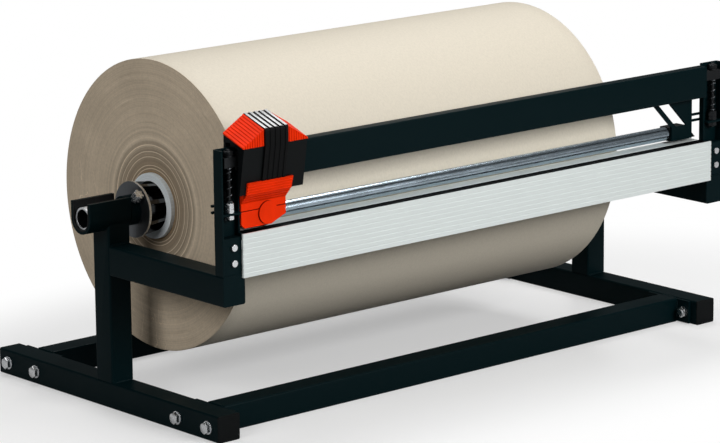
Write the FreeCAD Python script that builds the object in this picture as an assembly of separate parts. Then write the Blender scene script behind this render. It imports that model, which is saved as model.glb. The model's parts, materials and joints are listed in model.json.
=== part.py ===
import FreeCAD, Part
import math
import os

from FreeCAD import Vector

os.makedirs("parts", exist_ok=True)

# A table-top cutter for rolls of wrapping paper. Sizes are in millimetres.
# X runs along the roll, to the right. Y runs to the back and Z runs up.
# The pieces are drawn with the uprights on Y = 0 and the floor on Z = 0.
# They are exported with the origin under the middle of the whole machine.

# Frame of square steel tube
overall_width = 1042.0
rail_length = 540.0
tube_size = 40.0
tube_wall = 2.5
tube_corner = 3.0
cross_setback = 38.0
end_cap_thickness = 2.0
end_cap_plug = 12.0
flange_length = 92.0
flange_thickness = 5.0
flange_drop = 1.5
flange_bolt_spacing = 72.0
base_bolt_diameter = 10.0
base_bolt_hole = 10.5
base_head_across = 16.0
base_head_height = 6.4
base_nut_height = 8.0
base_washer_diameter = 20.0
base_washer_thickness = 2.0
hexagon_face = 0.95
arm_height = 45.0
arm_end_plate = 3.0

# Paper roll, its core and the spindle
roll_diameter = 445.0
roll_width = 762.0
roll_floor_gap = 72.5
core_outer = 100.0
core_bore = 76.2
core_overhang = 7.0
shaft_outer = 34.0
shaft_wall = 3.0
shaft_left_overhang = 32.0
shaft_right_overhang = 2.0
running_clearance = 0.1
right_hub_gap = 0.8

# Cradles that carry the spindle
cradle_wall = 4.5
liner_wall = 2.0
cradle_rim_rise = 25.0
cradle_left_overhang = 36.0
cradle_right_overhang = 6.0

# Hubs that hold the core on the shaft
collar_gap = 2.0
collar_length = 18.0
collar_diameter = 46.0
hub_plate_thickness = 4.0
hub_plate_diameter = 86.0
cone_length = 63.0
cone_large = 84.0
cone_small = 68.2
cone_middle = 48.0
cone_rib_count = 8
cone_rib_thickness = 6.0
lock_screw_diameter = 8.0
lock_knob_diameter = 16.0
lock_knob_length = 12.0
lock_knob_reach = 30.0
lock_knob_tilt = 45.0
lock_knob_flute_count = 6
lock_knob_flute_radius = 2.5

# Posts, channels that open to the front
post_wall = 3.0
post_rise = 125.0
inner_flange_rise = 88.5
inner_flange_setback = 9.0

# Bed over which the paper runs
bed_above_axis = 14.5
bed_height = 64.5
bed_front_wall = 5.0
bed_wall = 3.0
bed_proud = 4.0
bed_back_margin = 9.0
bed_post_gap = 0.5
bed_skirt_overlap = 5.5
bed_groove_count = 8
bed_groove_height = 2.0
bed_groove_depth = 0.6
arm_above_bed_bottom = 6.0
strip_setback = 3.0
strip_width = 19.0
strip_height = 9.0
knife_groove_width = 2.6
knife_groove_depth = 7.0
bracket_thickness = 4.0
bracket_recess = 1.0
bracket_side_gap = 0.2
tongue_height = 41.0
tongue_length = 54.0
tongue_slot_gap = 0.5
bed_screw_diameter = 6.0
bed_screw_head = 10.0
bed_screw_head_height = 4.0
bed_screw_head_round = 1.3
bed_screw_spacing = 23.0
bed_screw_drop = 13.0
bed_screw_length = 14.0

# Guide beam with the press tube under it
beam_height = 50.0
beam_depth = 20.0
beam_wall = 2.0
beam_corner = 2.5
beam_end_gap = 0.5
beam_above_bed = 71.5
press_tube_outer = 22.0
press_tube_wall = 2.0
press_gap = 4.5
roll_to_press_gap = 20.5
press_axle_diameter = 8.0
press_bush_length = 12.0
press_end_gap = 1.0
end_block_length = 61.0
end_block_chamfer = 22.0
end_block_margin = 1.0
press_bracket_thickness = 4.0
press_bracket_width = 46.0
press_bracket_strip = 9.0
press_bracket_lap = 16.0
finger_gap = 2.0
finger_height = 3.6
finger_rise_low = 26.0
finger_rise_high = 35.5
bracket_screw_diameter = 5.0
bracket_screw_head = 8.0
bracket_screw_head_height = 3.0
bracket_screw_length = 11.0
bracket_corner_inset = 2.0
block_screw_inner_inset = 9.0
block_screw_outer_inset = 13.5
block_screw_gap = 0.5

# Spring guides inside the posts
guide_rod_diameter = 8.0
guide_rod_top = 3.0
guide_nut_across = 13.0
guide_nut_height = 6.5
guide_washer_diameter = 15.0
guide_washer_thickness = 2.0
guide_rod_front_gap = 9.0
seat_thickness = 3.0
seat_rise = 28.5
seat_front_gap = 2.0
lug_height = 15.0
lug_drop = 8.0
lug_width = 24.0
lug_depth = 13.0
lug_tenon_length = 34.0
lug_tenon_height = 40.0
lug_top_gap = 0.2
spring_wire = 1.6
spring_outer = 12.0
spring_active_turns = 4
spring_end_gap = 0.6

# Knife carriage
carriage_core_width = 94.0
carriage_shell_overlap = 12.0
carriage_post_gap = 1.0
grip_overhang = 1.0
shell_front_gap = 1.5
shell_front_thickness = 14.5
shell_lean = 11.5
shell_drop = 15.0
shell_rear_thickness = 4.5
shell_rear_gap = 3.5
shell_rear_height = 29.0
ceiling_gap = 2.0
ceiling_thickness = 2.5
ledge_gap = 3.0
ledge_thickness = 6.0
ledge_back_gap = 1.5
pad_gap = 0.3
pad_width = 20.0
pad_inset = 1.5
pad_end_margin = 6.0
band_width = 43.0
band_front_height = 25.5
band_back_height = 42.0
band_plate = 3.0
band_corner = 4.0
band_rib_count = 5
band_groove_width = 4.2
band_groove_depth = 1.0
wing_outer_height = 2.0
wing_inner_height = 24.5
grip_back_rise = 16.5
slope_relief_height = 5.0
slope_relief_margin = 2.0
wing_rib_count = 9
wing_groove_width = 1.2
wing_groove_depth = 0.8

# Knife holder, blade and release button
holder_width = 83.0
holder_shift = -6.2
holder_lip_rise = 18.0
holder_lip_thickness = 4.4
holder_lip_root = 2.6
holder_knee_drop = 15.0
holder_front = 4.5
holder_seam_drop = 26.5
holder_bottom_gap = 5.0
holder_chamfer_height = 11.5
holder_chamfer_length = 27.0
holder_corner = 6.0
holder_groove_count = 7
holder_groove_radius = 0.7
holder_seam_chamfer = 0.8
holder_screw_diameter = 4.0
holder_screw_length = 45.0
holder_screw_head = 7.0
holder_screw_head_height = 2.5
holder_screw_margin = 26.0
holder_screw_edge = 6.5
blade_setback = 13.0
blade_diameter = 44.0
blade_thickness = 1.2
blade_bore = 6.16
blade_tip_gap = 1.0
blade_slot = 2.8
blade_slot_margin = 2.0
blade_side_shift = 7.0
blade_axle_diameter = 6.0
blade_axle_length = 7.0
button_diameter = 34.0
button_ear_reach = 2.0
button_ear_height = 10.0
button_ear_thickness = 1.0
button_thickness = 6.4
button_rise = 2.6
button_side_gap = 0.2
button_floor = 1.0
button_spring_wire = 0.6
button_spring_outer = 30.0
button_spring_inner = 16.0
button_spring_turns = 3

# Places that follow from the sizes
half_width = overall_width / 2
inner_half = half_width - tube_size
side_centre = half_width - tube_size / 2
roll_radius = roll_diameter / 2
axis_z = roll_radius + roll_floor_gap
shaft_radius = shaft_outer / 2
shaft_left = -half_width - shaft_left_overhang
shaft_right = half_width + shaft_right_overhang

cradle_bore_radius = shaft_radius + running_clearance + liner_wall
cradle_radius = cradle_bore_radius + cradle_wall
upright_top = axis_z - math.sqrt(cradle_radius ** 2 - (tube_size / 2) ** 2)
cradle_left_end = -half_width - cradle_left_overhang
cradle_right_end = half_width + cradle_right_overhang

collar_outer_x = inner_half - collar_gap
collar_inner_x = collar_outer_x - collar_length
plate_inner_x = collar_inner_x - hub_plate_thickness
hub_stand_off = cone_length * (cone_large - core_bore) / (cone_large - cone_small)
core_left = -(plate_inner_x - hub_stand_off)
roll_left = core_left + core_overhang
roll_right = roll_left + roll_width
core_right = roll_right + core_overhang
right_hub_shift = core_right + hub_stand_off + right_hub_gap - plate_inner_x

press_radius = press_tube_outer / 2
press_y = -(roll_radius + roll_to_press_gap + press_radius)
end_block_front = press_y - press_radius + end_block_margin
bracket_front = end_block_front - press_bracket_thickness
beam_back = bracket_front
beam_front = beam_back - beam_depth
post_back = beam_back - finger_gap
post_front = post_back - beam_depth
bed_front = post_front - bed_proud
bed_back = press_y + bed_back_margin

bed_top = axis_z + bed_above_axis
bed_bottom = bed_top - bed_height
arm_top = bed_bottom + arm_above_bed_bottom
arm_bottom = arm_top - arm_height
post_top = bed_top + post_rise
press_z = bed_top + press_gap + press_radius
beam_bottom = bed_top + beam_above_bed
beam_top = beam_bottom + beam_height
press_end_x = inner_half - end_block_length - press_end_gap

rod_y = post_front + guide_rod_front_gap
rod_radius = guide_rod_diameter / 2
seat_bottom = bed_top + seat_rise
seat_top = seat_bottom + seat_thickness
spring_bottom = seat_top + 2 * guide_nut_height + guide_washer_thickness
lug_top = beam_top - lug_drop
lug_bottom = lug_top - lug_height

carriage_x = -(inner_half - carriage_post_gap - carriage_core_width / 2)
core_half = carriage_core_width / 2
shell_half = core_half + carriage_shell_overlap
grip_half = shell_half + grip_overhang
shell_inner_y = post_front - shell_front_gap
shell_top_y = shell_inner_y - shell_front_thickness
shell_low_y = shell_top_y + shell_lean
shell_bottom = beam_bottom - shell_drop
shell_rear_inner = beam_back + shell_rear_gap
shell_rear_outer = shell_rear_inner + shell_rear_thickness
ceiling_z = beam_top + ceiling_gap
grip_bottom = ceiling_z + ceiling_thickness
ledge_top = beam_bottom - ledge_gap
ledge_bottom = ledge_top - ledge_thickness
ledge_back = beam_back - ledge_back_gap

blade_y = beam_front + blade_setback
blade_radius = blade_diameter / 2
blade_z = bed_top + blade_tip_gap + blade_radius
holder_x = carriage_x + holder_shift
holder_screw_right = holder_x + (blade_diameter + holder_screw_margin) / 2
holder_right = holder_screw_right + holder_screw_edge
holder_left = holder_right - holder_width
holder_screw_left = holder_left + holder_screw_edge
holder_front_y = beam_front + holder_front
holder_back_y = ledge_back
holder_seam = shell_bottom - holder_seam_drop
holder_bottom = bed_top + holder_bottom_gap
blade_x = holder_x + blade_side_shift
button_front = holder_front_y - button_rise
button_back = button_front + button_thickness
ear_cavity_front = button_back - button_ear_thickness - button_side_gap
button_floor_y = blade_y - blade_slot / 2 - button_floor

bolt_face = half_width + base_washer_thickness + base_head_height
machine_left = min(cradle_left_end, -bolt_face)
machine_right = max(cradle_right_end, bolt_face)
machine_front = shell_top_y - band_plate
machine_back = rail_length / 2 + end_cap_thickness
machine_shift = Vector(-(machine_left + machine_right) / 2, -(machine_front + machine_back) / 2, 0)


# Building blocks
X_AXIS = Vector(1, 0, 0)
Y_AXIS = Vector(0, 1, 0)
Z_AXIS = Vector(0, 0, 1)


def box(x0, x1, y0, y1, z0, z1):
    """Block between two corners."""
    low = Vector(min(x0, x1), min(y0, y1), min(z0, z1))
    return Part.makeBox(abs(x1 - x0), abs(y1 - y0), abs(z1 - z0), low)


def rounded_block(x0, x1, y0, y1, z0, z1, axis, radius):
    """Block with its four edges along one axis rounded."""
    block = box(x0, x1, y0, y1, z0, z1)
    edges = [edge for edge in block.Edges if abs(edge.tangentAt(edge.FirstParameter).dot(axis)) > 0.5]
    return block.makeFillet(radius, edges)


def hollow_tube(x0, x1, y0, y1, z0, z1, axis, wall, corner):
    """Rectangular tube along one axis with rounded edges, open at both ends."""
    outside = rounded_block(x0, x1, y0, y1, z0, z1, axis, corner)
    x_wall, y_wall, z_wall = [wall * (1 - part) for part in axis]
    inside = rounded_block(
        x0 + x_wall, x1 - x_wall,
        y0 + y_wall, y1 - y_wall,
        z0 + z_wall, z1 - z_wall,
        axis, corner - wall,
    )
    return outside.cut(inside)


def rod_x(x0, x1, y, z, radius):
    """Round bar along X."""
    return Part.makeCylinder(radius, abs(x1 - x0), Vector(min(x0, x1), y, z), Vector(1, 0, 0))


def rod_y_axis(y0, y1, x, z, radius):
    """Round bar along Y."""
    return Part.makeCylinder(radius, abs(y1 - y0), Vector(x, min(y0, y1), z), Vector(0, 1, 0))


def rod_z(z0, z1, x, y, radius):
    """Round bar along Z."""
    return Part.makeCylinder(radius, abs(z1 - z0), Vector(x, y, min(z0, z1)), Vector(0, 0, 1))


def prism(points, direction):
    """Solid swept from a closed outline by one vector."""
    outline = Part.makePolygon(points + [points[0]])
    return Part.Face(outline).extrude(direction)


def prism_x(outline, x0, x1):
    """Outline of (y, z) points, swept along X."""
    return prism([Vector(x0, y, z) for y, z in outline], Vector(x1 - x0, 0, 0))


def prism_y(outline, y0, y1):
    """Outline of (x, z) points, swept along Y."""
    return prism([Vector(x, y0, z) for x, z in outline], Vector(0, y1 - y0, 0))


def hexagon(across_flats, height, base, direction, two_sided):
    """Six-sided head or nut with chamfered corners, standing on a base point along a direction.

    A head is chamfered at its far end and a nut at both ends.
    """
    radius = across_flats / math.sqrt(3)
    turns = [math.pi / 3 * k for k in range(6)]
    corners = [Vector(radius * math.cos(t), radius * math.sin(t), 0) for t in turns]
    solid = prism(corners, Vector(0, 0, height))
    narrow = across_flats / 2 * hexagon_face
    wide = narrow + height * math.sqrt(3)
    solid = solid.common(Part.makeCone(wide, narrow, height))
    if two_sided:
        solid = solid.common(Part.makeCone(narrow, wide, height))
    solid.Placement = FreeCAD.Placement(base, FreeCAD.Rotation(Vector(0, 0, 1), direction))
    return solid


def washer(diameter, hole, thickness, base, direction):
    """Flat ring."""
    disc = Part.makeCylinder(diameter / 2, thickness, base, direction)
    return disc.cut(Part.makeCylinder(hole / 2, thickness, base, direction))


def mirrored(shape):
    """Copy on the other side of the middle plane."""
    return shape.mirror(Vector(0, 0, 0), Vector(1, 0, 0))


def pair(shape):
    """A piece and its mirrored twin, left one first."""
    return [shape, mirrored(shape)]


def export(name, pieces):
    """Write one node, made of one solid or of a list of them."""
    if isinstance(pieces, list):
        shape = Part.makeCompound(pieces)
    else:
        shape = pieces
    shape = shape.copy()
    shape.translate(machine_shift)
    shape.exportStep("parts/" + name + ".step")
    print(name, len(shape.Solids), round(shape.Volume), shape.isValid())


# A coil is swept along a helix that is drawn as two tangent arcs for each quarter turn
def arc_through(start, corner, end):
    """Arc that leaves start towards corner and arrives at end from corner."""
    weight = (end - start).Length / 2 / (corner - start).Length
    middle = ((start + end) * 0.5 + corner * weight) * (1 / (1 + weight))
    return Part.Arc(start, middle, end).toShape()


def tangent_arcs(start, start_way, end, end_way):
    """Two arcs that join smoothly between two points with given directions."""
    chord = end - start
    ways = start_way + end_way
    bend = 2 * (1 - start_way.dot(end_way))
    along = chord.dot(ways)
    reach = (math.sqrt(along * along + bend * chord.dot(chord)) - along) / bend
    first = start + start_way * reach
    last = end - end_way * reach
    joint = (first + last) * 0.5
    return [arc_through(start, first, joint), arc_through(joint, last, end)]


def coil(outer_diameter, last_diameter, wire, rises):
    """Spring on +Z from its lowest point. Each entry of rises is the climb of one quarter turn.

    Its outer diameter goes evenly from the first value to the last.
    """
    start_radius = (outer_diameter - wire) / 2
    shrink = (outer_diameter - last_diameter) / 2 / len(rises)
    heights = [wire / 2]
    for rise in rises:
        heights.append(heights[-1] + rise)
    points = []
    ways = []
    for k, height in enumerate(heights):
        turn = math.pi / 2 * k
        radius = start_radius - shrink * k
        before = rises[max(k - 1, 0)]
        after = rises[min(k, len(rises) - 1)]
        out = Vector(math.cos(turn), math.sin(turn), 0)
        along = Vector(-math.sin(turn), math.cos(turn), 0)
        points.append(out * radius + Vector(0, 0, height))
        way = along * (math.pi / 2 * radius) - out * shrink + Vector(0, 0, (before + after) / 2)
        ways.append(way.normalize())
    edges = []
    for k in range(len(rises)):
        edges += tangent_arcs(points[k], ways[k], points[k + 1], ways[k + 1])
    path = Part.Wire(edges)
    ring = Part.Wire([Part.makeCircle(wire / 2, points[0], ways[0])])
    return path.makePipeShell([ring], True, False), least_gap(path, wire)


def least_gap(path, wire):
    """Least distance between a coil's surface and itself one turn on, on points along it."""
    samples = 48
    turns = len(path.Edges) // 8
    places = path.discretize(Number=samples * turns + 1)
    gaps = []
    for k in range(len(places) - samples // 2):
        later = places[k + samples // 2: k + samples + samples // 2]
        gaps.append(min(places[k].distanceToPoint(other) for other in later) - wire)
    return min(gaps)


# Base: two rails, two cross tubes with end flanges, bolts through the rails
def cross_centres():
    """Y of the front and rear cross tubes."""
    offset = rail_length / 2 - cross_setback - tube_size / 2
    return [-offset, offset]


def base_bolt_places():
    """Y of the four bolts in one rail."""
    half = flange_bolt_spacing / 2
    return [centre + side * half for centre in cross_centres() for side in (-1, 1)]


def make_rail():
    """Left rail with the holes for its bolts."""
    half = rail_length / 2
    rail = hollow_tube(-half_width, -inner_half, -half, half, 0, tube_size, Y_AXIS, tube_wall, tube_corner)
    for y in base_bolt_places():
        rail = rail.cut(rod_x(-half_width, -inner_half, y, tube_size / 2, base_bolt_hole / 2))
    return rail


def make_rail_cap(side):
    """Plug in the front or back end of the left rail."""
    end = side * rail_length / 2
    cap = rounded_block(
        -half_width, -inner_half,
        end, end + side * end_cap_thickness,
        0, tube_size,
        Y_AXIS, tube_corner,
    )
    plug = rounded_block(
        -half_width + tube_wall, -inner_half - tube_wall,
        end, end - side * end_cap_plug,
        tube_wall, tube_size - tube_wall,
        Y_AXIS, tube_corner - tube_wall,
    )
    return cap.fuse(plug).removeSplitter()


def make_cross_tube(centre):
    """Cross tube with a flange plate on each end."""
    end = inner_half - flange_thickness
    low = centre - tube_size / 2
    high = centre + tube_size / 2
    tube = hollow_tube(-end, end, low, high, 0, tube_size, X_AXIS, tube_wall, tube_corner)
    half = flange_length / 2
    for side in (-1, 1):
        plate = box(
            side * end, side * inner_half,
            centre - half, centre + half,
            flange_drop, tube_size - flange_drop,
        )
        for offset in (-flange_bolt_spacing / 2, flange_bolt_spacing / 2):
            hole = rod_x(side * end, side * inner_half, centre + offset, tube_size / 2, base_bolt_hole / 2)
            plate = plate.cut(hole)
        tube = tube.fuse(plate)
    return tube.removeSplitter()


def make_base_fasteners():
    """Bolts, washers and nuts of both rails."""
    bolts = []
    washers = []
    nuts = []
    z = tube_size / 2
    washer_face = -half_width - base_washer_thickness
    nut_face = -inner_half + flange_thickness
    out = Vector(-1, 0, 0)
    for y in base_bolt_places():
        head = hexagon(base_head_across, base_head_height, Vector(washer_face, y, z), out, False)
        shank_end = nut_face + base_nut_height + base_washer_thickness
        shank = rod_x(washer_face, shank_end, y, z, base_bolt_diameter / 2)
        ring = washer(
            base_washer_diameter, base_bolt_diameter, base_washer_thickness,
            Vector(-half_width, y, z), out,
        )
        nut = hexagon(base_head_across, base_nut_height, Vector(nut_face, y, z), Vector(1, 0, 0), True)
        nut = nut.cut(rod_x(nut_face, shank_end, y, z, base_bolt_diameter / 2))
        bolts += pair(head.fuse(shank))
        washers += pair(ring)
        nuts += pair(nut)
    return bolts, washers, nuts


# Sides: upright, arm and post
def make_upright():
    """Left upright between rail and cradle, its top cut as a saddle for the cradle."""
    half = tube_size / 2
    tube = hollow_tube(
        -half_width, -inner_half,
        -half, half,
        tube_size, upright_top,
        Z_AXIS, tube_wall, tube_corner,
    )
    return tube.cut(rod_x(-half_width, -inner_half, 0, axis_z, cradle_radius))


def make_arm():
    """Left arm with its closed front end."""
    front = post_front + arm_end_plate
    tube = hollow_tube(
        -half_width, -inner_half,
        front, -tube_size / 2,
        arm_bottom, arm_top,
        Y_AXIS, tube_wall, tube_corner,
    )
    plate = rounded_block(
        -half_width, -inner_half,
        post_front, front,
        arm_bottom, arm_top,
        Y_AXIS, tube_corner,
    )
    return tube.fuse(plate).removeSplitter()


def make_post():
    """Left post, a channel that opens to the front, its inner flange low and narrower over the bed."""
    outer = box(-half_width, -half_width + post_wall, post_front, post_back, arm_top, post_top)
    web = box(-half_width, -inner_half, post_back - post_wall, post_back, arm_top, post_top)
    flange_top = bed_top + inner_flange_rise
    inner = box(-inner_half - post_wall, -inner_half, post_front, post_back, arm_top, bed_top)
    upper_front = post_front + inner_flange_setback
    upper = box(-inner_half - post_wall, -inner_half, upper_front, post_back, bed_top, flange_top)
    slot_low = tongue_middle() - tongue_height / 2 - tongue_slot_gap
    slot_high = tongue_middle() + tongue_height / 2 + tongue_slot_gap
    slot_back = post_front + bracket_recess + bracket_thickness + tongue_slot_gap
    slot = box(-inner_half - post_wall, -inner_half, post_front, slot_back, slot_low, slot_high)
    channel = outer.fuse(web).fuse(inner).fuse(upper).removeSplitter().cut(slot)
    folds = rounded_block(
        -half_width, -inner_half,
        post_front - 2 * post_wall, post_back,
        arm_top, post_top,
        Z_AXIS, post_wall,
    )
    return channel.common(folds)


def tongue_middle():
    """Height of the middle of the bed's end tongues."""
    return (bed_top - strip_height + bed_bottom) / 2


def bed_screw_heights():
    """Heights of the two bed screws in a post."""
    top = bed_top - bed_screw_drop - bracket_thickness - bracket_recess
    return [top - bed_screw_spacing, top]


def bracket_span():
    """X of the two sides of the plate between the flanges of the left post."""
    margin = post_wall + bracket_side_gap
    return -half_width + margin, -inner_half - margin


def make_mounting_block():
    """Tapped block in the left post, behind the bed bracket."""
    left, right = bracket_span()
    front = post_front + bracket_recess + bracket_thickness
    block = box(left, right, front, post_back - post_wall, arm_top, bed_top - bracket_thickness)
    for z in bed_screw_heights():
        block = block.cut(rod_y_axis(front, front + bed_screw_length - bracket_thickness, -side_centre, z,
                                     bed_screw_diameter / 2))
    return block


def make_bed_bracket():
    """Flat bar that joins the left post to the bed, a tongue of it inside the bed."""
    left, right = bracket_span()
    front = post_front + bracket_recess
    back = front + bracket_thickness
    plate = box(left, right, front, back, arm_top, bed_top - bracket_thickness)
    middle = tongue_middle()
    half = tongue_height / 2
    tongue = box(right, -inner_half + tongue_length, front, back, middle - half, middle + half)
    bracket = plate.fuse(tongue).removeSplitter()
    for z in bed_screw_heights():
        bracket = bracket.cut(rod_y_axis(front, back, -side_centre, z, bed_screw_diameter / 2))
    return bracket


def make_bed_screws():
    """Screws that hold the bed brackets in both posts."""
    face = post_front + bracket_recess
    screws = []
    for z in bed_screw_heights():
        shank = rod_y_axis(face, face + bed_screw_length, -side_centre, z, bed_screw_diameter / 2)
        head = rod_y_axis(face - bed_screw_head_height, face, -side_centre, z, bed_screw_head / 2)
        head = head.makeFillet(bed_screw_head_round, [head.Edges[0]])
        screws += pair(head.fuse(shank))
    return screws


# Bed: aluminium profile with a strip for the knife
def make_bed():
    """Hollow profile with grooves in its front and a recess for the knife strip."""
    half = inner_half - bed_post_gap
    long_half = inner_half + bed_skirt_overlap
    body = box(-half, half, bed_front, bed_back, bed_bottom, bed_top)
    skirt = box(-long_half, long_half, bed_front, post_front, bed_bottom, bed_top)
    body = body.fuse(skirt)
    strip_front, strip_back = strip_span()
    floor = bed_top - strip_height - bed_wall
    hollow = box(-half, half, bed_front + bed_front_wall, bed_back - bed_wall, bed_bottom + bed_wall, floor)
    body = body.cut(hollow)
    rear_hollow = box(-half, half, strip_back + bed_wall, bed_back - bed_wall, floor, bed_top - bed_wall)
    body = body.cut(rear_hollow)
    recess = box(-long_half, long_half, strip_front, strip_back, bed_top - strip_height, bed_top)
    body = body.cut(recess)
    pitch = bed_height / (bed_groove_count + 1)
    for k in range(bed_groove_count):
        z = bed_bottom + pitch * (k + 1)
        groove = box(
            -long_half, long_half,
            bed_front, bed_front + bed_groove_depth,
            z - bed_groove_height / 2, z + bed_groove_height / 2,
        )
        body = body.cut(groove)
    return body.removeSplitter()


def strip_span():
    """Y of the front and back of the knife strip."""
    front = bed_front + strip_setback
    return front, front + strip_width


def make_cutting_strip():
    """Strip under the knife, with the slot that its edge runs in."""
    front, back = strip_span()
    half = inner_half - bed_post_gap
    strip = box(-half, half, front, back, bed_top - strip_height, bed_top)
    low = blade_y - knife_groove_width / 2
    groove = box(-half, half, low, low + knife_groove_width, bed_top - knife_groove_depth, bed_top)
    return strip.cut(groove)


# Spindle, cradles and hubs
def trough(x0, x1, inner, outer, rim):
    """U-shaped trough round the spindle's axis, open at the top."""
    shell = rod_x(x0, x1, 0, axis_z, outer)
    shell = shell.cut(box(x0, x1, -outer, outer, axis_z, axis_z + outer))
    walls = box(x0, x1, -outer, outer, axis_z, rim)
    solid = shell.fuse(walls)
    solid = solid.cut(rod_x(x0, x1, 0, axis_z, inner))
    return solid.cut(box(x0, x1, -inner, inner, axis_z, rim)).removeSplitter()


def make_cradle(x0, x1):
    """Cradle on top of an upright."""
    return trough(x0, x1, cradle_bore_radius, cradle_radius, axis_z + cradle_rim_rise)


def make_cradle_liner(x0, x1):
    """Plastic liner in a cradle, the shaft's plain bearing."""
    return trough(x0, x1, shaft_radius + running_clearance, cradle_bore_radius, axis_z + cradle_rim_rise)


def make_shaft():
    """Hollow shaft through core and hubs."""
    shaft = rod_x(shaft_left, shaft_right, 0, axis_z, shaft_radius)
    return shaft.cut(rod_x(shaft_left, shaft_right, 0, axis_z, shaft_radius - shaft_wall))


def make_core():
    """Cardboard core."""
    core = rod_x(core_left, core_right, 0, axis_z, core_outer / 2)
    return core.cut(rod_x(core_left, core_right, 0, axis_z, core_bore / 2))


def make_paper_roll():
    """Paper wound on the core."""
    roll = rod_x(roll_left, roll_right, 0, axis_z, roll_radius)
    return roll.cut(rod_x(roll_left, roll_right, 0, axis_z, core_outer / 2))


def make_hub_cone():
    """Ribbed cone of the left hub."""
    start = -plate_inner_x
    axis = Vector(1, 0, 0)
    envelope = Part.makeCone(cone_large / 2, cone_small / 2, cone_length, Vector(start, 0, axis_z), axis)
    ribs = rod_x(start, start + cone_length, 0, axis_z, cone_middle / 2)
    for k in range(cone_rib_count // 2):
        rib = box(start, start + cone_length, -cone_large / 2, cone_large / 2,
                  axis_z - cone_rib_thickness / 2, axis_z + cone_rib_thickness / 2)
        rib.rotate(Vector(0, 0, axis_z), axis, 360.0 * (k + 0.5) / cone_rib_count)
        ribs = ribs.fuse(rib)
    cone = ribs.common(envelope).removeSplitter()
    return cone.cut(rod_x(start, start + cone_length, 0, axis_z, shaft_radius))


def make_hub_plate():
    """Round plate behind the cone of the left hub."""
    ring = rod_x(-collar_inner_x, -plate_inner_x, 0, axis_z, hub_plate_diameter / 2)
    return ring.cut(rod_x(-collar_inner_x, -plate_inner_x, 0, axis_z, shaft_radius))


def lock_direction():
    """Way from the shaft to the locking knob, forwards and up."""
    tilt = math.radians(lock_knob_tilt)
    return Vector(0, -math.cos(tilt), math.sin(tilt))


def lock_middle():
    """Point on the shaft's axis in the middle of the left collar."""
    return Vector(-(collar_outer_x + collar_inner_x) / 2, 0, axis_z)


def make_collar():
    """Locking collar of the left hub, with the tapped hole for its screw."""
    ring = rod_x(-collar_outer_x, -collar_inner_x, 0, axis_z, collar_diameter / 2)
    ring = ring.cut(rod_x(-collar_outer_x, -collar_inner_x, 0, axis_z, shaft_radius))
    hole_radius = lock_screw_diameter / 2 + running_clearance
    return ring.cut(Part.makeCylinder(hole_radius, lock_knob_reach, lock_middle(), lock_direction()))


def make_lock_knob():
    """Hand screw in the left collar: shank and fluted head in one piece."""
    way = lock_direction()
    start = lock_middle() + way * (shaft_radius + running_clearance)
    shank_length = lock_knob_reach - shaft_radius - running_clearance
    shank = Part.makeCylinder(lock_screw_diameter / 2, shank_length, start, way)
    base = lock_middle() + way * lock_knob_reach
    head = Part.makeCylinder(lock_knob_diameter / 2, lock_knob_length, base, way)
    rim = base + Vector(lock_knob_diameter / 2, 0, 0)
    for k in range(lock_knob_flute_count):
        flute = Part.makeCylinder(lock_knob_flute_radius, lock_knob_length, rim, way)
        flute.rotate(base, way, 360.0 * k / lock_knob_flute_count)
        head = head.cut(flute)
    return shank.fuse(head)


# Guide beam, its end lugs and the parts that hang under it
def make_beam():
    """Rectangular tube that carries the carriage."""
    end = inner_half - beam_end_gap
    beam = hollow_tube(
        -end, end,
        beam_front, beam_back,
        beam_bottom, beam_top,
        X_AXIS, beam_wall, beam_corner,
    )
    for x in bracket_screw_places():
        for side in (-1, 1):
            beam = beam.cut(rod_y_axis(beam_back - beam_wall, beam_back, side * x, bracket_screw_height(),
                                       bracket_screw_diameter / 2))
    return beam


def make_lug():
    """Left end lug: a tenon in the beam and a guide eye on the spring rod."""
    eye_left = -side_centre - lug_width / 2
    beam_end = -inner_half + beam_end_gap
    eye_front = rod_y - lug_depth / 2
    eye_back = rod_y + lug_depth / 2
    eye = box(eye_left, beam_end, eye_front, eye_back, lug_bottom, lug_top)
    tenon_low = beam_bottom + (beam_height - lug_tenon_height) / 2
    tenon = box(
        beam_end, beam_end + lug_tenon_length,
        beam_front + beam_wall, beam_back - beam_wall,
        tenon_low, tenon_low + lug_tenon_height,
    )
    lug = eye.fuse(tenon).removeSplitter()
    hole = rod_z(lug_bottom, lug_top, -side_centre, rod_y, rod_radius + running_clearance)
    screw_x = -bracket_screw_places()[0]
    screw_hole = rod_y_axis(bracket_screw_tip(), beam_back, screw_x, bracket_screw_height(),
                            bracket_screw_diameter / 2)
    return lug.cut(hole).cut(screw_hole)


def bracket_corner_x():
    """X of the inner lower corner of the right press bracket."""
    return inner_half - end_block_length + bracket_corner_inset


def bracket_outer_x():
    """X of the outer edge of the right press bracket."""
    return bracket_corner_x() + press_bracket_width


def bracket_screw_places():
    """X of the screws that hold the right press bracket to the beam."""
    outer = bracket_outer_x()
    return [outer - press_bracket_lap / 2, outer - press_bracket_width - press_bracket_lap / 2]


def bracket_screw_height():
    """Height of the screws in the beam's back."""
    return beam_bottom + press_bracket_lap / 2


def bracket_screw_tip():
    """Y of the tips of the screws in the beam."""
    return end_block_front - bracket_screw_length


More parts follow.
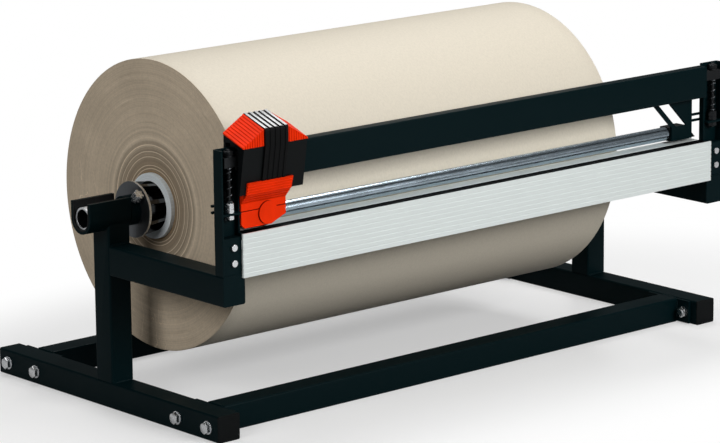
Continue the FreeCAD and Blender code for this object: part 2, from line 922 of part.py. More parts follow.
def make_press_bracket():
    """Right press bracket: a plate with a slanted window and two guide fingers."""
    corner = bracket_corner_x()
    outer = bracket_outer_x()
    top = beam_bottom + press_bracket_lap
    block_low = press_z - press_radius
    block_top = press_z + press_radius
    slant = top - block_top - press_bracket_lap
    left = corner - slant
    outline = [
        (corner, block_low), (outer, block_low), (outer, top), (left, top),
        (left, top - press_bracket_lap), (corner, block_top),
    ]
    plate = prism_y(outline, bracket_front, end_block_front)
    window_low = block_top + press_end_gap
    window_high = beam_bottom - finger_gap
    rise = window_high - window_low
    first = corner + press_bracket_strip
    last = outer - press_bracket_strip - finger_height
    window = [
        (first, window_low), (last, window_low),
        (last - rise, window_high), (first - rise, window_high),
    ]
    plate = plate.cut(prism_y(window, bracket_front, end_block_front))
    for rise_low in (finger_rise_low, finger_rise_high):
        z = press_z - press_radius + rise_low
        finger = box(outer, half_width, bracket_front, end_block_front, z, z + finger_height)
        plate = plate.fuse(finger)
    plate = plate.removeSplitter()
    for x in bracket_screw_places():
        plate = plate.cut(rod_y_axis(bracket_front, end_block_front, x, bracket_screw_height(),
                                     bracket_screw_diameter / 2))
    for x in block_screw_places():
        plate = plate.cut(rod_y_axis(bracket_front, end_block_front, x, block_screw_height(),
                                     bracket_screw_diameter / 2))
    return plate


def block_screw_places():
    """X of the screws that hold the right end block to its bracket."""
    corner = bracket_corner_x()
    return [corner + block_screw_inner_inset, corner + press_bracket_width - block_screw_outer_inset]


def block_screw_height():
    """Height of the screws in the end blocks, above the axle."""
    return press_z + press_axle_diameter / 2 + bracket_screw_diameter / 2 + block_screw_gap


def make_bracket_screws():
    """Screws of both press brackets, into the beam and into the end blocks."""
    screws = []
    for x in bracket_screw_places():
        shank = rod_y_axis(bracket_screw_tip(), end_block_front, x, bracket_screw_height(),
                           bracket_screw_diameter / 2)
        head = rod_y_axis(end_block_front, end_block_front + bracket_screw_head_height, x,
                          bracket_screw_height(), bracket_screw_head / 2)
        screws += pair(mirrored(head.fuse(shank)))
    for x in block_screw_places():
        shank = rod_y_axis(bracket_front, bracket_front + bracket_screw_length, x, block_screw_height(),
                           bracket_screw_diameter / 2)
        screws += pair(mirrored(shank))
    return screws


def make_end_block():
    """Left end block that carries the press tube's axle."""
    inner = -(inner_half - end_block_length)
    outer = -(inner_half - press_end_gap)
    low = press_z - press_radius
    high = press_z + press_radius
    outline = [(inner, low), (outer, low), (outer + end_block_chamfer, high), (inner, high)]
    back = press_y + press_radius
    block = prism_y(outline, end_block_front, back)
    block = block.cut(rod_x(inner, -axle_half(), press_y, press_z, press_axle_diameter / 2))
    for x in block_screw_places():
        depth = bracket_screw_length - press_bracket_thickness
        block = block.cut(rod_y_axis(end_block_front, end_block_front + depth, -x, block_screw_height(),
                                     bracket_screw_diameter / 2))
    return block


def axle_half():
    """Half length of the press tube's axle."""
    return inner_half - end_block_chamfer - press_bracket_strip


def make_press_axle():
    """Fixed axle through the press tube."""
    return rod_x(-axle_half(), axle_half(), press_y, press_z, press_axle_diameter / 2)


def make_press_tube():
    """Bright tube that holds the paper down."""
    tube = rod_x(-press_end_x, press_end_x, press_y, press_z, press_radius)
    return tube.cut(rod_x(-press_end_x, press_end_x, press_y, press_z, press_radius - press_tube_wall))


def make_press_bush():
    """Plain bush in the left end of the press tube."""
    inner = -press_end_x + press_bush_length
    bush = rod_x(-press_end_x, inner, press_y, press_z, press_radius - press_tube_wall)
    hole = press_axle_diameter / 2 + running_clearance
    return bush.cut(rod_x(-press_end_x, inner, press_y, press_z, hole))


# Spring guides in the posts
def make_guide_rod():
    """Threaded rod of the left spring."""
    return rod_z(seat_bottom - guide_nut_height - guide_washer_thickness, beam_top + guide_rod_top,
                 -side_centre, rod_y, rod_radius)


def guide_nut(base):
    """Nut on the left guide rod."""
    place = Vector(-side_centre, rod_y, base)
    nut = hexagon(guide_nut_across, guide_nut_height, place, Vector(0, 0, 1), True)
    return nut.cut(rod_z(base, base + guide_nut_height, -side_centre, rod_y, rod_radius))


def make_guide_nuts():
    """Nuts and washers that set the left and right guide rods."""
    up = Vector(0, 0, 1)
    pieces = []
    for base in (seat_bottom - guide_nut_height, seat_top, seat_top + guide_nut_height,
                 lug_top + lug_top_gap + guide_washer_thickness):
        pieces += pair(guide_nut(base))
    for base in (seat_top + 2 * guide_nut_height, lug_top + lug_top_gap):
        pieces += pair(washer(guide_washer_diameter, guide_rod_diameter, guide_washer_thickness,
                              Vector(-side_centre, rod_y, base), up))
    return pieces


def make_spring_seat():
    """Shelf welded between the sides of the left post, which carries the guide rod."""
    left = -half_width + post_wall
    right = -inner_half - post_wall
    seat = box(left, right, post_front + seat_front_gap, post_back - post_wall, seat_bottom, seat_top)
    return seat.cut(rod_z(seat_bottom, seat_top, -side_centre, rod_y, rod_radius))


def make_lift_spring():
    """Left lifting spring, closed at both ends, between the seat's nuts and the lug."""
    length = lug_bottom - spring_bottom
    end_rise = (spring_wire + spring_end_gap) / 4
    end_quarters = 4
    active_quarters = 4 * spring_active_turns
    active_rise = (length - spring_wire - 2 * end_quarters * end_rise) / active_quarters
    rises = [end_rise] * end_quarters + [active_rise] * active_quarters + [end_rise] * end_quarters
    spring, gap = coil(spring_outer, spring_outer, spring_wire, rises)
    print("lift spring, least gap to itself", round(gap, 2))
    spring.translate(Vector(-side_centre, rod_y, spring_bottom))
    return spring


# Knife carriage on the beam
def make_carriage_housing():
    """Housing that wraps the beam: leaning front, ceiling, rear wall, ledge and sloping top.

    The sloping top is cut out over the posts' tops, for the way down of the beam.
    """
    left = carriage_x - shell_half
    right = carriage_x + shell_half
    core_left_x = carriage_x - core_half
    core_right_x = carriage_x + core_half
    front_outline = [
        (shell_inner_y, shell_bottom), (shell_low_y, shell_bottom),
        (shell_top_y, grip_bottom), (shell_inner_y, grip_bottom),
    ]
    front = prism_x(front_outline, left, right)
    ceiling = box(core_left_x, core_right_x, shell_inner_y, shell_rear_outer, ceiling_z, grip_bottom)
    rear_low = grip_bottom - shell_rear_height
    rear = box(left, right, shell_rear_inner, shell_rear_outer, rear_low, grip_bottom)
    ledge = box(core_left_x, core_right_x, shell_inner_y, ledge_back, ledge_bottom, ledge_top)
    slope_outline = [
        (shell_top_y, grip_bottom), (shell_rear_outer, grip_bottom),
        (shell_rear_outer, grip_bottom + grip_back_rise),
    ]
    slope = prism_x(slope_outline, left, right)
    relief_front = post_back - post_wall - slope_relief_margin
    relief_top = grip_bottom + slope_relief_height
    for x0, x1 in ((left, core_left_x), (core_right_x, right)):
        slope = slope.cut(box(x0, x1, relief_front, shell_rear_inner, grip_bottom, relief_top))
    housing = front.fuse(ceiling).fuse(rear).fuse(ledge).fuse(slope).removeSplitter()
    for x in holder_screw_places():
        housing = housing.cut(rod_z(ledge_bottom, ledge_top, x, holder_screw_y(), holder_screw_diameter / 2))
    return housing


def make_glide_pads():
    """Slide pads between housing and beam, in two rows."""
    pads = []
    first = carriage_x - core_half + pad_inset
    last = carriage_x + core_half - pad_inset - pad_width
    low = beam_bottom + pad_end_margin
    high = beam_top - pad_end_margin
    rear_low = grip_bottom - shell_rear_height + pad_inset
    for x in (first, last):
        end = x + pad_width
        pads.append(box(x, end, shell_inner_y, beam_front - pad_gap, low, high))
        pads.append(box(x, end, beam_back + pad_gap, shell_rear_inner, rear_low, high))
        front = beam_front + pad_inset
        pads.append(box(x, end, front, beam_back - pad_inset, beam_top + pad_gap, ceiling_z))
        pads.append(box(x, end, front, ledge_back - pad_inset, ledge_top, beam_bottom - pad_gap))
    return pads


def slope_height(y):
    """Height of the housing's sloping top."""
    return grip_bottom + grip_back_rise * (y - shell_top_y) / (shell_rear_outer - shell_top_y)


def slope_block(x0, x1, front_y, height0, height1):
    """Block on the housing's sloping top. Its height over the slope is given at x0 and x1."""
    front = slope_height(front_y)
    back_y = shell_rear_outer
    back = slope_height(back_y)
    corners = [
        Vector(x0, front_y, front), Vector(x1, front_y, front),
        Vector(x1, back_y, back), Vector(x0, back_y, back),
    ]
    tops = [
        Vector(x0, front_y, front + height0), Vector(x1, front_y, front + height1),
        Vector(x1, back_y, back + height1), Vector(x0, back_y, back + height0),
    ]
    faces = [face_of(corners), face_of(tops)]
    for k in range(4):
        after = (k + 1) % 4
        faces.append(face_of([corners[k], corners[after], tops[after], tops[k]]))
    solid = Part.Solid(Part.Shell(faces))
    if solid.Volume < 0:
        solid.reverse()
    return solid


def face_of(points):
    """Flat face through its corners."""
    return Part.Face(Part.makePolygon(points + [points[0]]))


def wing_slice(side, first, last, sink):
    """Slice of a grip wing between two shares of its width, counted from its outer edge."""
    inner = carriage_x + side * band_width / 2
    outer = carriage_x + side * grip_half
    shares = [first, last]
    if side > 0:
        shares.reverse()
    x0, x1 = [outer + (inner - outer) * share for share in shares]
    climb = wing_inner_height - wing_outer_height
    height0, height1 = [wing_outer_height + climb * share - sink for share in shares]
    return slope_block(x0, x1, shell_top_y + sink, height0, height1)


def make_grip_wing(side):
    """Sloping wing of the grip, ribbed on its top and front. Side is -1 for the left wing."""
    wing = wing_slice(side, 0, 1, wing_groove_depth)
    groove = wing_groove_width / (grip_half - band_width / 2)
    pitch = (1 + groove) / wing_rib_count
    for k in range(wing_rib_count):
        wing = wing.fuse(wing_slice(side, pitch * k, pitch * (k + 1) - groove, 0))
    return wing.removeSplitter()


def band_block(left, right, sink):
    """Band over the grip between two values of X, its top and front sunk by some depth."""
    lip_top = shell_bottom + holder_lip_rise
    lean = shell_lean * (grip_bottom - lip_top) / (grip_bottom - shell_bottom)
    front = shell_top_y - band_plate + sink
    front_top = grip_bottom + band_front_height - sink
    outline = [
        (shell_rear_outer, slope_height(shell_rear_outer)),
        (shell_rear_outer, grip_bottom + band_back_height - sink),
        (front, front_top), (front, grip_bottom),
        (front + lean, lip_top), (shell_top_y + lean, lip_top),
        (shell_top_y, grip_bottom),
    ]
    block = prism_x(outline, left, right)
    middle = Vector((left + right) / 2, front, front_top)
    edge = [edge for edge in block.Edges if edge.CenterOfMass.distanceToPoint(middle) < 0.001]
    return block.makeFillet(band_corner, edge)


def make_grip_band():
    """Band over the middle of the grip and down the housing's front, ribbed from front to back."""
    left = carriage_x - band_width / 2
    right = carriage_x + band_width / 2
    band = band_block(left, right, band_groove_depth)
    pitch = (band_width + band_groove_width) / band_rib_count
    for k in range(band_rib_count):
        rib_left = left + pitch * k
        band = band.fuse(band_block(rib_left, rib_left + pitch - band_groove_width, 0))
    return band.removeSplitter()


# Knife holder with blade, axle and release button
def holder_sides():
    """X of the left and right sides of the knife holder."""
    return holder_left, holder_right


def blade_slot_solid():
    """Space for the blade inside the holder."""
    y0 = blade_y - blade_slot / 2
    return rod_y_axis(y0, y0 + blade_slot, blade_x, blade_z, blade_radius + blade_slot_margin)


def holder_screw_places():
    """X of the two screws that hold the knife holder."""
    return [holder_screw_left, holder_screw_right]


def holder_screw_y():
    """Y of the knife holder's screws."""
    return (holder_front_y + ledge_back) / 2


def make_knife_holder():
    """Upper part of the holder, with the leaning front lip."""
    left, right = holder_sides()
    lip_top = shell_bottom + holder_lip_rise
    lean = shell_lean * (grip_bottom - lip_top) / (grip_bottom - shell_bottom)
    lip_back = shell_top_y + lean
    knee = shell_bottom - holder_knee_drop
    outline = [
        (shell_inner_y, ledge_bottom), (ledge_back, ledge_bottom),
        (holder_back_y, holder_seam), (holder_front_y + holder_seam_chamfer, holder_seam),
        (holder_front_y, holder_seam + holder_seam_chamfer),
        (holder_front_y, knee), (shell_low_y - holder_lip_root, shell_bottom),
        (lip_back - holder_lip_thickness, lip_top),
        (lip_back, lip_top), (shell_low_y, shell_bottom), (shell_inner_y, shell_bottom),
    ]
    holder = prism_x(outline, left, right).cut(blade_slot_solid()).cut(blade_axle_solid()).cut(button_space())
    lip_front = lip_back - holder_lip_thickness
    root = shell_low_y - holder_lip_root
    pitch = (holder_lip_rise + holder_knee_drop) / (holder_groove_count + 1)
    for k in range(holder_groove_count):
        z = lip_top - pitch * (k + 1)
        if z > shell_bottom:
            y = root + (lip_front - root) * (z - shell_bottom) / holder_lip_rise
        else:
            y = root + (holder_front_y - root) * (shell_bottom - z) / holder_knee_drop
        holder = holder.cut(rod_x(left, right, y, z, holder_groove_radius))
    return cut_holder_screws(holder)


def cut_holder_screws(solid):
    """Holder piece with the stepped holes of its two screws."""
    y = holder_screw_y()
    for x in holder_screw_places():
        solid = solid.cut(rod_z(holder_bottom, ledge_bottom, x, y, holder_screw_diameter / 2))
        solid = solid.cut(rod_z(holder_bottom, holder_screw_face(), x, y, holder_screw_head / 2))
    return solid


def holder_screw_face():
    """Height of the seat under the heads of the holder's screws."""
    return ledge_top - holder_screw_length


def make_holder_screws():
    """Screws from below, through the holder into the housing's ledge."""
    screws = []
    face = holder_screw_face()
    for x in holder_screw_places():
        shank = rod_z(face, face + holder_screw_length, x, holder_screw_y(), holder_screw_diameter / 2)
        head = rod_z(face - holder_screw_head_height, face, x, holder_screw_y(), holder_screw_head / 2)
        screws.append(head.fuse(shank))
    return screws


def make_blade_cover():
    """Lower part of the holder, round the blade, with the button's seat in its front."""
    left, right = holder_sides()
    outline = [
        (left, holder_seam), (left, holder_bottom + holder_corner), (left + holder_corner, holder_bottom),
        (right - holder_chamfer_length, holder_bottom), (right, holder_bottom + holder_chamfer_height),
        (right, holder_seam),
    ]
    cover = prism_y(outline, holder_front_y, holder_back_y)
    chamfer = [
        (holder_front_y, holder_seam), (holder_front_y + holder_seam_chamfer, holder_seam),
        (holder_front_y, holder_seam - holder_seam_chamfer),
    ]
    cover = cover.cut(prism_x(chamfer, left, right))
    cover = cover.cut(blade_slot_solid()).cut(blade_axle_solid()).cut(button_space())
    return cut_holder_screws(cover)


def button_space():
    """Space in the holder for the button, its ears and its spring."""
    round_space = rod_y_axis(button_front - button_side_gap, button_floor_y, blade_x, blade_z,
                             button_diameter / 2 + button_side_gap)
    half_width_x = button_diameter / 2 + button_ear_reach + button_side_gap
    half_height = button_ear_height / 2 + button_side_gap
    ears = box(blade_x - half_width_x, blade_x + half_width_x, ear_cavity_front, button_floor_y,
               blade_z - half_height, blade_z + half_height)
    return round_space.fuse(ears)


def blade_axle_solid():
    """Pin that the blade turns on."""
    return rod_y_axis(button_floor_y, button_floor_y + blade_axle_length, blade_x, blade_z,
                      blade_axle_diameter / 2)


def make_blade():
    """Round blade with a bevelled edge."""
    bevel = blade_thickness / 2
    middle = blade_radius - 2 * bevel
    y0 = blade_y - bevel
    profile = [
        Vector(blade_bore / 2, y0, 0), Vector(middle, y0, 0), Vector(blade_radius, blade_y, 0),
        Vector(middle, y0 + blade_thickness, 0), Vector(blade_bore / 2, y0 + blade_thickness, 0),
    ]
    face = face_of(profile)
    blade = face.revolve(Vector(0, 0, 0), Vector(0, 1, 0), 360)
    blade.translate(Vector(blade_x, 0, blade_z))
    return blade


def make_release_button():
    """Round push button, kept in by an ear on each side behind the cover's front."""
    face = rod_y_axis(button_front, button_back, blade_x, blade_z, button_diameter / 2)
    reach = button_diameter / 2 + button_ear_reach
    ears = box(blade_x - reach, blade_x + reach, button_back - button_ear_thickness, button_back,
               blade_z - button_ear_height / 2, blade_z + button_ear_height / 2)
    return face.fuse(ears).removeSplitter()


def make_button_spring():
    """Conical coil behind the button. Its turns lie inside each other when it is pressed."""
    length = button_floor_y - button_back
    quarters = 4 * button_spring_turns
    rise = (length - button_spring_wire) / quarters
    spring, gap = coil(button_spring_outer, button_spring_inner, button_spring_wire, [rise] * quarters)
    print("button spring, least gap to itself", round(gap, 2))
    spring.rotate(Vector(0, 0, 0), Vector(1, 0, 0), 90)
    spring.translate(Vector(blade_x, button_floor_y, blade_z))
    return spring


def shifted_right(shape):
    """Mirrored hub piece, moved to the right end of the core, free to slide on the shaft."""
    other = mirrored(shape)
    other.translate(Vector(right_hub_shift, 0, 0))
    return other.cut(rod_x(shaft_left, shaft_right, 0, axis_z, shaft_radius + running_clearance))


def export_pair(name, left_shape):
    """Write a piece and its twin on the other side as two nodes."""
    export(name + "_left", left_shape)
    export(name + "_right", mirrored(left_shape))


def export_base():
    """Rails, cross tubes and what bolts them together."""
    export_pair("rail", make_rail())
    export("rail_caps", pair(make_rail_cap(-1)) + pair(make_rail_cap(1)))
    front, rear = cross_centres()
    export("cross_tube_front", make_cross_tube(front))
    export("cross_tube_rear", make_cross_tube(rear))
    bolts, washers, nuts = make_base_fasteners()
    export("base_bolts", bolts)
    export("base_washers", washers)
    export("base_nuts", nuts)


def export_sides():
    """Uprights, arms, posts and cradles."""
    export_pair("upright", make_upright())
    export_pair("arm", make_arm())
    export_pair("post", make_post())
    left_span = (cradle_left_end, -inner_half)
    right_span = (inner_half, cradle_right_end)
    export("cradle_left", make_cradle(*left_span))
    export("cradle_right", make_cradle(*right_span))
    export("cradle_liners", [make_cradle_liner(*left_span), make_cradle_liner(*right_span)])


def export_bed():
    """Bed, knife strip and what holds them in the posts."""
    export("mounting_blocks", pair(make_mounting_block()))
    export_pair("bed_bracket", make_bed_bracket())
    export("bed_screws", make_bed_screws())
    export("bed_profile", make_bed())
    export("cutting_strip", make_cutting_strip())


def export_spindle():
    """Shaft, core, paper and both hubs."""
    export("shaft", make_shaft())
    export("core", make_core())
    export("paper_roll", make_paper_roll())
    hub_pieces = {
        "hub_cone": make_hub_cone(),
        "hub_plate": make_hub_plate(),
        "collar": make_collar(),
        "lock_knob": make_lock_knob(),
    }
    for name, shape in hub_pieces.items():
        export(name + "_left", shape)
        export(name + "_right", shifted_right(shape))


def export_beam():
    """Beam, lugs, press tube and the springs that lift them."""
    export("guide_beam", make_beam())
    export("beam_lugs", pair(make_lug()))
    bracket = make_press_bracket()
    export("press_bracket_left", mirrored(bracket))
    export("press_bracket_right", bracket)
    export("bracket_screws", make_bracket_screws())
    export("end_blocks", pair(make_end_block()))
    export("press_axle", make_press_axle())
    export("press_tube", make_press_tube())
    export("press_bushes", pair(make_press_bush()))
    export("guide_rods", pair(make_guide_rod()))
    export("guide_nuts", make_guide_nuts())
    export("spring_seats", pair(make_spring_seat()))
    export_pair("lift_spring", make_lift_spring())


def export_carriage():
    """Carriage, grip, knife holder, blade and button."""
    export("carriage_housing", make_carriage_housing())
    export("glide_pads", make_glide_pads())
    export("grip_wing_left", make_grip_wing(-1))
    export("grip_wing_right", make_grip_wing(1))
    export("grip_band", make_grip_band())
    export("knife_holder", make_knife_holder())
    export("holder_screws", make_holder_screws())
    export("blade_cover", make_blade_cover())
    export("blade_axle", blade_axle_solid())
    export("blade", make_blade())
    export("release_button", make_release_button())
    export("button_spring", make_button_spring())


export_base()
export_sides()
export_bed()
export_spindle()
export_beam()
export_carriage()
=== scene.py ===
"""Looks of the gift wrap paper cutter, piece by piece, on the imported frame.

All lengths are metres in the row frame: X along the roll, Y to the back, Z up, origin on the
floor under the middle of the machine. Pieces whose form is only a body with broken edges are
made from a merged copy of their CAD mesh. Pieces with finer forms (paper roll, springs, threaded
rods, weld beads) are numpy grids, and each builder's docstring gives its formula in words.
"""

from __future__ import annotations

import json
import logging
import math
from dataclasses import dataclass, field
from enum import Enum
from typing import Callable

import bmesh
import bpy
import numpy as np
from mathutils import Matrix, Vector

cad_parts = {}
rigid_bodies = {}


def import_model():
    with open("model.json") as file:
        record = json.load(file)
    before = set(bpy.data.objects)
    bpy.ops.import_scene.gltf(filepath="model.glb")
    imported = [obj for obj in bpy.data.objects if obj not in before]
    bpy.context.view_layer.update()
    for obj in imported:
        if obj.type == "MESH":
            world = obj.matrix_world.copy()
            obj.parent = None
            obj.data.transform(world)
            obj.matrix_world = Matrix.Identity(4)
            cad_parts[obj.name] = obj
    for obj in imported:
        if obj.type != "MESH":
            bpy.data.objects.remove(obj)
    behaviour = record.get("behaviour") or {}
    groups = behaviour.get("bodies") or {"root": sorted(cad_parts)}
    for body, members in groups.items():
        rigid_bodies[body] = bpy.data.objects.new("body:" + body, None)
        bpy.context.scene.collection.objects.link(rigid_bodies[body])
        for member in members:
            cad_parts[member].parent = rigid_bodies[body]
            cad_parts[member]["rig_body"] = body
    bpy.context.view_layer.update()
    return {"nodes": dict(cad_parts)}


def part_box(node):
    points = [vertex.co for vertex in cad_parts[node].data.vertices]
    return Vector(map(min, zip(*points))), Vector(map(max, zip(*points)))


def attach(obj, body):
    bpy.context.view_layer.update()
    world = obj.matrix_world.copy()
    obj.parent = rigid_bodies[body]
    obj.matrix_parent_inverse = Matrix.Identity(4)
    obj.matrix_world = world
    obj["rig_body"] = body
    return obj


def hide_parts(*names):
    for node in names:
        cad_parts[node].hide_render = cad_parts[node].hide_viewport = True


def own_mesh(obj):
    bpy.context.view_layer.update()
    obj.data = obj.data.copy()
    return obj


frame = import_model()

LOG = logging.getLogger("cutter")
MM = 0.001
TURN = 2 * math.pi
SEED = 20
MERGE_DISTANCE = 0.002 * MM
FLAT_ANGLE = math.radians(0.4)
EDGE_STEPS = 2


class Body(str, Enum):
    """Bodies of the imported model."""

    STAND = "stand"
    SPINDLE = "spindle"
    LEFT_LOCK = "left_lock"
    RIGHT_HUB = "right_hub"
    RIGHT_LOCK = "right_lock"
    BEAM = "press_beam"
    ROLLER = "press_roller"
    CARRIAGE = "carriage"
    BLADE = "blade"
    BUTTON = "button"


class Slot(str, Enum):
    """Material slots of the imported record."""

    PAINT = "frame_paint"
    ZINC = "zinc"
    TUBE = "bright_tube"
    SHAFT = "steel_shaft"
    BLACK = "black_plastic"
    GLOSS = "gloss_black_plastic"
    ORANGE = "orange_plastic"
    ALUMINIUM = "bed_aluminium"
    STRIP = "strip_plastic"
    LINER = "liner_plastic"
    BLADE = "blade_steel"
    SPRING = "spring_steel"
    PAPER = "paper"
    CARD = "core_card"


class Edge(Enum):
    """How far an edge is broken, in metres."""

    SHARP = 0.15 * MM
    FINE = 0.35 * MM
    SOFT = 0.7 * MM


Triple = tuple[float, float, float]
Colour = Triple
Socket = bpy.types.NodeSocket


class Shader:
    """Builder of one procedural material on Object coordinates."""

    def __init__(self, name: str) -> None:
        """Starts a material with a principled surface.

        Args:
            name: the material's name.
        """
        self.material = bpy.data.materials.new(name)
        self.material.use_nodes = True
        self.tree = self.material.node_tree
        self.surface = next(n for n in self.tree.nodes if n.type == "BSDF_PRINCIPLED")
        self.place = self.tree.nodes.new("ShaderNodeTexCoord").outputs["Object"]

    def node(self, kind: str, inputs: dict | None = None, **settings: object) -> bpy.types.Node:
        """Adds a node.

        Args:
            kind: the node's type.
            inputs: socket name or index to value or to another node's socket.
            settings: properties of the node.

        Returns:
            The node.
        """
        made = self.tree.nodes.new(kind)
        for key, value in settings.items():
            setattr(made, key, value)
        for key, value in (inputs or {}).items():
            self.put(made.inputs[key], value)
        return made

    def put(self, socket: Socket, value: object) -> None:
        """Sets or links an input.

        Args:
            socket: the input.
            value: a value or another node's output.
        """
        if isinstance(value, Socket):
            self.tree.links.new(value, socket)
        elif isinstance(value, tuple) and len(value) == 3 and socket.type == "RGBA":
            socket.default_value = (*value, 1.0)
        else:
            socket.default_value = value

    def set(self, **inputs: object) -> None:
        """Sets inputs of the surface, with underscores for spaces in their names.

        Args:
            inputs: input name to value or socket.
        """
        for key, value in inputs.items():
            self.put(self.surface.inputs[key.replace("_", " ")], value)

    def stretched(self, scale: Triple, shift: Triple = (0.0, 0.0, 0.0)) -> Socket:
        """Object coordinates after a shift and a scale for each axis.

        Args:
            scale: factors of the axes.
            shift: moved by this before the scale.

        Returns:
            The vector socket.
        """
        moved = self.node("ShaderNodeVectorMath", {0: self.place, 1: shift}, operation="ADD")
        inputs = {0: moved.outputs[0], 1: scale}
        return self.node("ShaderNodeVectorMath", inputs, operation="MULTIPLY").outputs[0]

    def noise(self, scale: float, detail: float = 3.0, stretch: Triple = (1.0, 1.0, 1.0)) -> Socket:
        """Noise from 0 to 1.

        Args:
            scale: cells for each metre.
            detail: octaves.
            stretch: factors of the axes, small along a streak.

        Returns:
            The factor socket.
        """
        inputs = {"Vector": self.stretched(stretch), "Scale": scale, "Detail": detail}
        return self.node("ShaderNodeTexNoise", inputs).outputs["Fac"]

    def layers(self, place: Socket, scale: float, detail: float) -> Socket:
        """Noise from 0 to 1 over one number, such as the distance from an axis.

        Args:
            place: the number.
            scale: cells for each metre.
            detail: octaves.

        Returns:
            The factor socket.
        """
        inputs = {"W": place, "Scale": scale, "Detail": detail}
        return self.node("ShaderNodeTexNoise", inputs, noise_dimensions="1D").outputs["Fac"]

    def math(self, operation: str, *values: object) -> Socket:
        """One arithmetic step.

        Args:
            operation: the math node's operation.
            values: numbers or sockets.

        Returns:
            The result socket.
        """
        return self.node("ShaderNodeMath", dict(enumerate(values)), operation=operation).outputs[0]

    def between(self, factor: object, low: float, high: float) -> Socket:
        """A factor from 0 to 1 mapped to a range.

        Args:
            factor: the factor socket.
            low, high: the results at 0 and 1.

        Returns:
            The result socket.
        """
        return self.math("MULTIPLY_ADD", factor, high - low, low)

    def share(self, value: object, start: float, end: float, curve: str = "LINEAR") -> Socket:
        """How far a value has come from a start to an end, from 0 to 1 and held there.

        Args:
            value: the value.
            start, end: where the share is 0 and 1.
            curve: the map range node's interpolation.

        Returns:
            The share socket.
        """
        inputs = {"Value": value, "From Min": start, "From Max": end}
        made = self.node("ShaderNodeMapRange", inputs, interpolation_type=curve)
        return made.outputs["Result"]

    def ramp(self, factor: object, stops: list[tuple[float, Colour]]) -> Socket:
        """Colour ramp.

        Args:
            factor: where on the ramp.
            stops: place and colour of each stop, in order.

        Returns:
            The colour socket.
        """
        made = self.node("ShaderNodeValToRGB", {"Fac": factor})
        elements = made.color_ramp.elements
        while len(elements) < len(stops):
            elements.new(1.0)
        for element, (place, colour) in zip(elements, stops):
            element.position = place
            element.color = (*colour, 1.0)
        return made.outputs["Color"]

    def bump(
        self,
        height: object,
        distance: float,
        strength: float = 1.0,
        under: object = None,
    ) -> Socket:
        """Bump of the surface.

        Args:
            height: height socket from 0 to 1.
            distance: height in metres at 1.
            strength: share of the effect.
            under: another bump to add to.

        Returns:
            The normal socket.
        """
        inputs = {"Height": height, "Distance": distance, "Strength": strength}
        if under is not None:
            inputs["Normal"] = under
        return self.node("ShaderNodeBump", inputs).outputs["Normal"]

    def axis_radius(self, middle: Triple) -> Socket:
        """Distance from an axis along X.

        Args:
            middle: a point on the axis.

        Returns:
            The distance socket in metres.
        """
        flat = self.stretched((0.0, 1.0, 1.0), (0.0, -middle[1], -middle[2]))
        return self.node("ShaderNodeVectorMath", {0: flat}, operation="LENGTH").outputs["Value"]


@dataclass(frozen=True)
class Finish:
    """A finish with one colour. Subclasses add the marks of how the surface was made."""

    name: str
    colour: Colour
    roughness: float = 0.4

    def build(self) -> bpy.types.Material:
        """Makes the material once and finds it again after that.

        Returns:
            The material.
        """
        name = "look_" + self.name
        known = bpy.data.materials.get(name)
        if known is not None:
            return known
        shader = Shader(name)
        shader.set(Base_Color=self.colour, Roughness=self.roughness)
        self.detail(shader)
        return shader.material

    def shade(self, share: float) -> Colour:
        """The finish's colour, darkened to a share of itself."""
        return tuple(share * part for part in self.colour)

    def detail(self, shader: Shader) -> None:
        """Adds the finish's own marks.

        Args:
            shader: the material being built.
        """


@dataclass(frozen=True)
class PowderCoat(Finish):
    """Baked powder paint with its orange-peel skin and faint dust."""

    gloss: float = 0.35
    peel_cells: float = 900.0
    wave_cells: float = 250.0
    dust_cells: float = 18.0
    peel_height: float = 0.03 * MM
    wave_height: float = 0.06 * MM

    def detail(self, shader: Shader) -> None:
        """Orange peel is two noises of 1 mm and 4 mm, roughness wanders slowly.

        Args:
            shader: the material being built.
        """
        peel = shader.noise(self.peel_cells, 2.0)
        wave = shader.noise(self.wave_cells, 2.0)
        dust = shader.noise(self.dust_cells, 4.0)
        waved = shader.bump(wave, self.wave_height, 0.4)
        shader.set(
            Roughness=shader.between(dust, self.roughness - 0.06, self.roughness + 0.08),
            Specular_IOR_Level=self.gloss,
            Normal=shader.bump(peel, self.peel_height, 0.5, waved),
        )


@dataclass(frozen=True)
class Metal(Finish):
    """Bare or plated metal with streaks along one axis."""

    streak: Triple = (1.0, 1.0, 1.0)
    scale: float = 400.0
    depth: float = 0.02
    spread: float = 0.08
    metallic: float = 1.0
    cloud: float = 0.85
    cloud_cells: float = 30.0

    def detail(self, shader: Shader) -> None:
        """Fine streaks in roughness and height, and a slow cloud in the colour.

        Args:
            shader: the material being built.
        """
        streaks = shader.noise(self.scale, 4.0, self.streak)
        cloud = shader.noise(self.cloud_cells, 3.0)
        low, high = self.roughness - self.spread, self.roughness + self.spread
        shader.set(
            Base_Color=shader.ramp(cloud, [(0.3, self.shade(self.cloud)), (0.7, self.colour)]),
            Metallic=self.metallic,
            Roughness=shader.between(streaks, low, high),
            Normal=shader.bump(streaks, self.depth * MM, 0.5),
        )


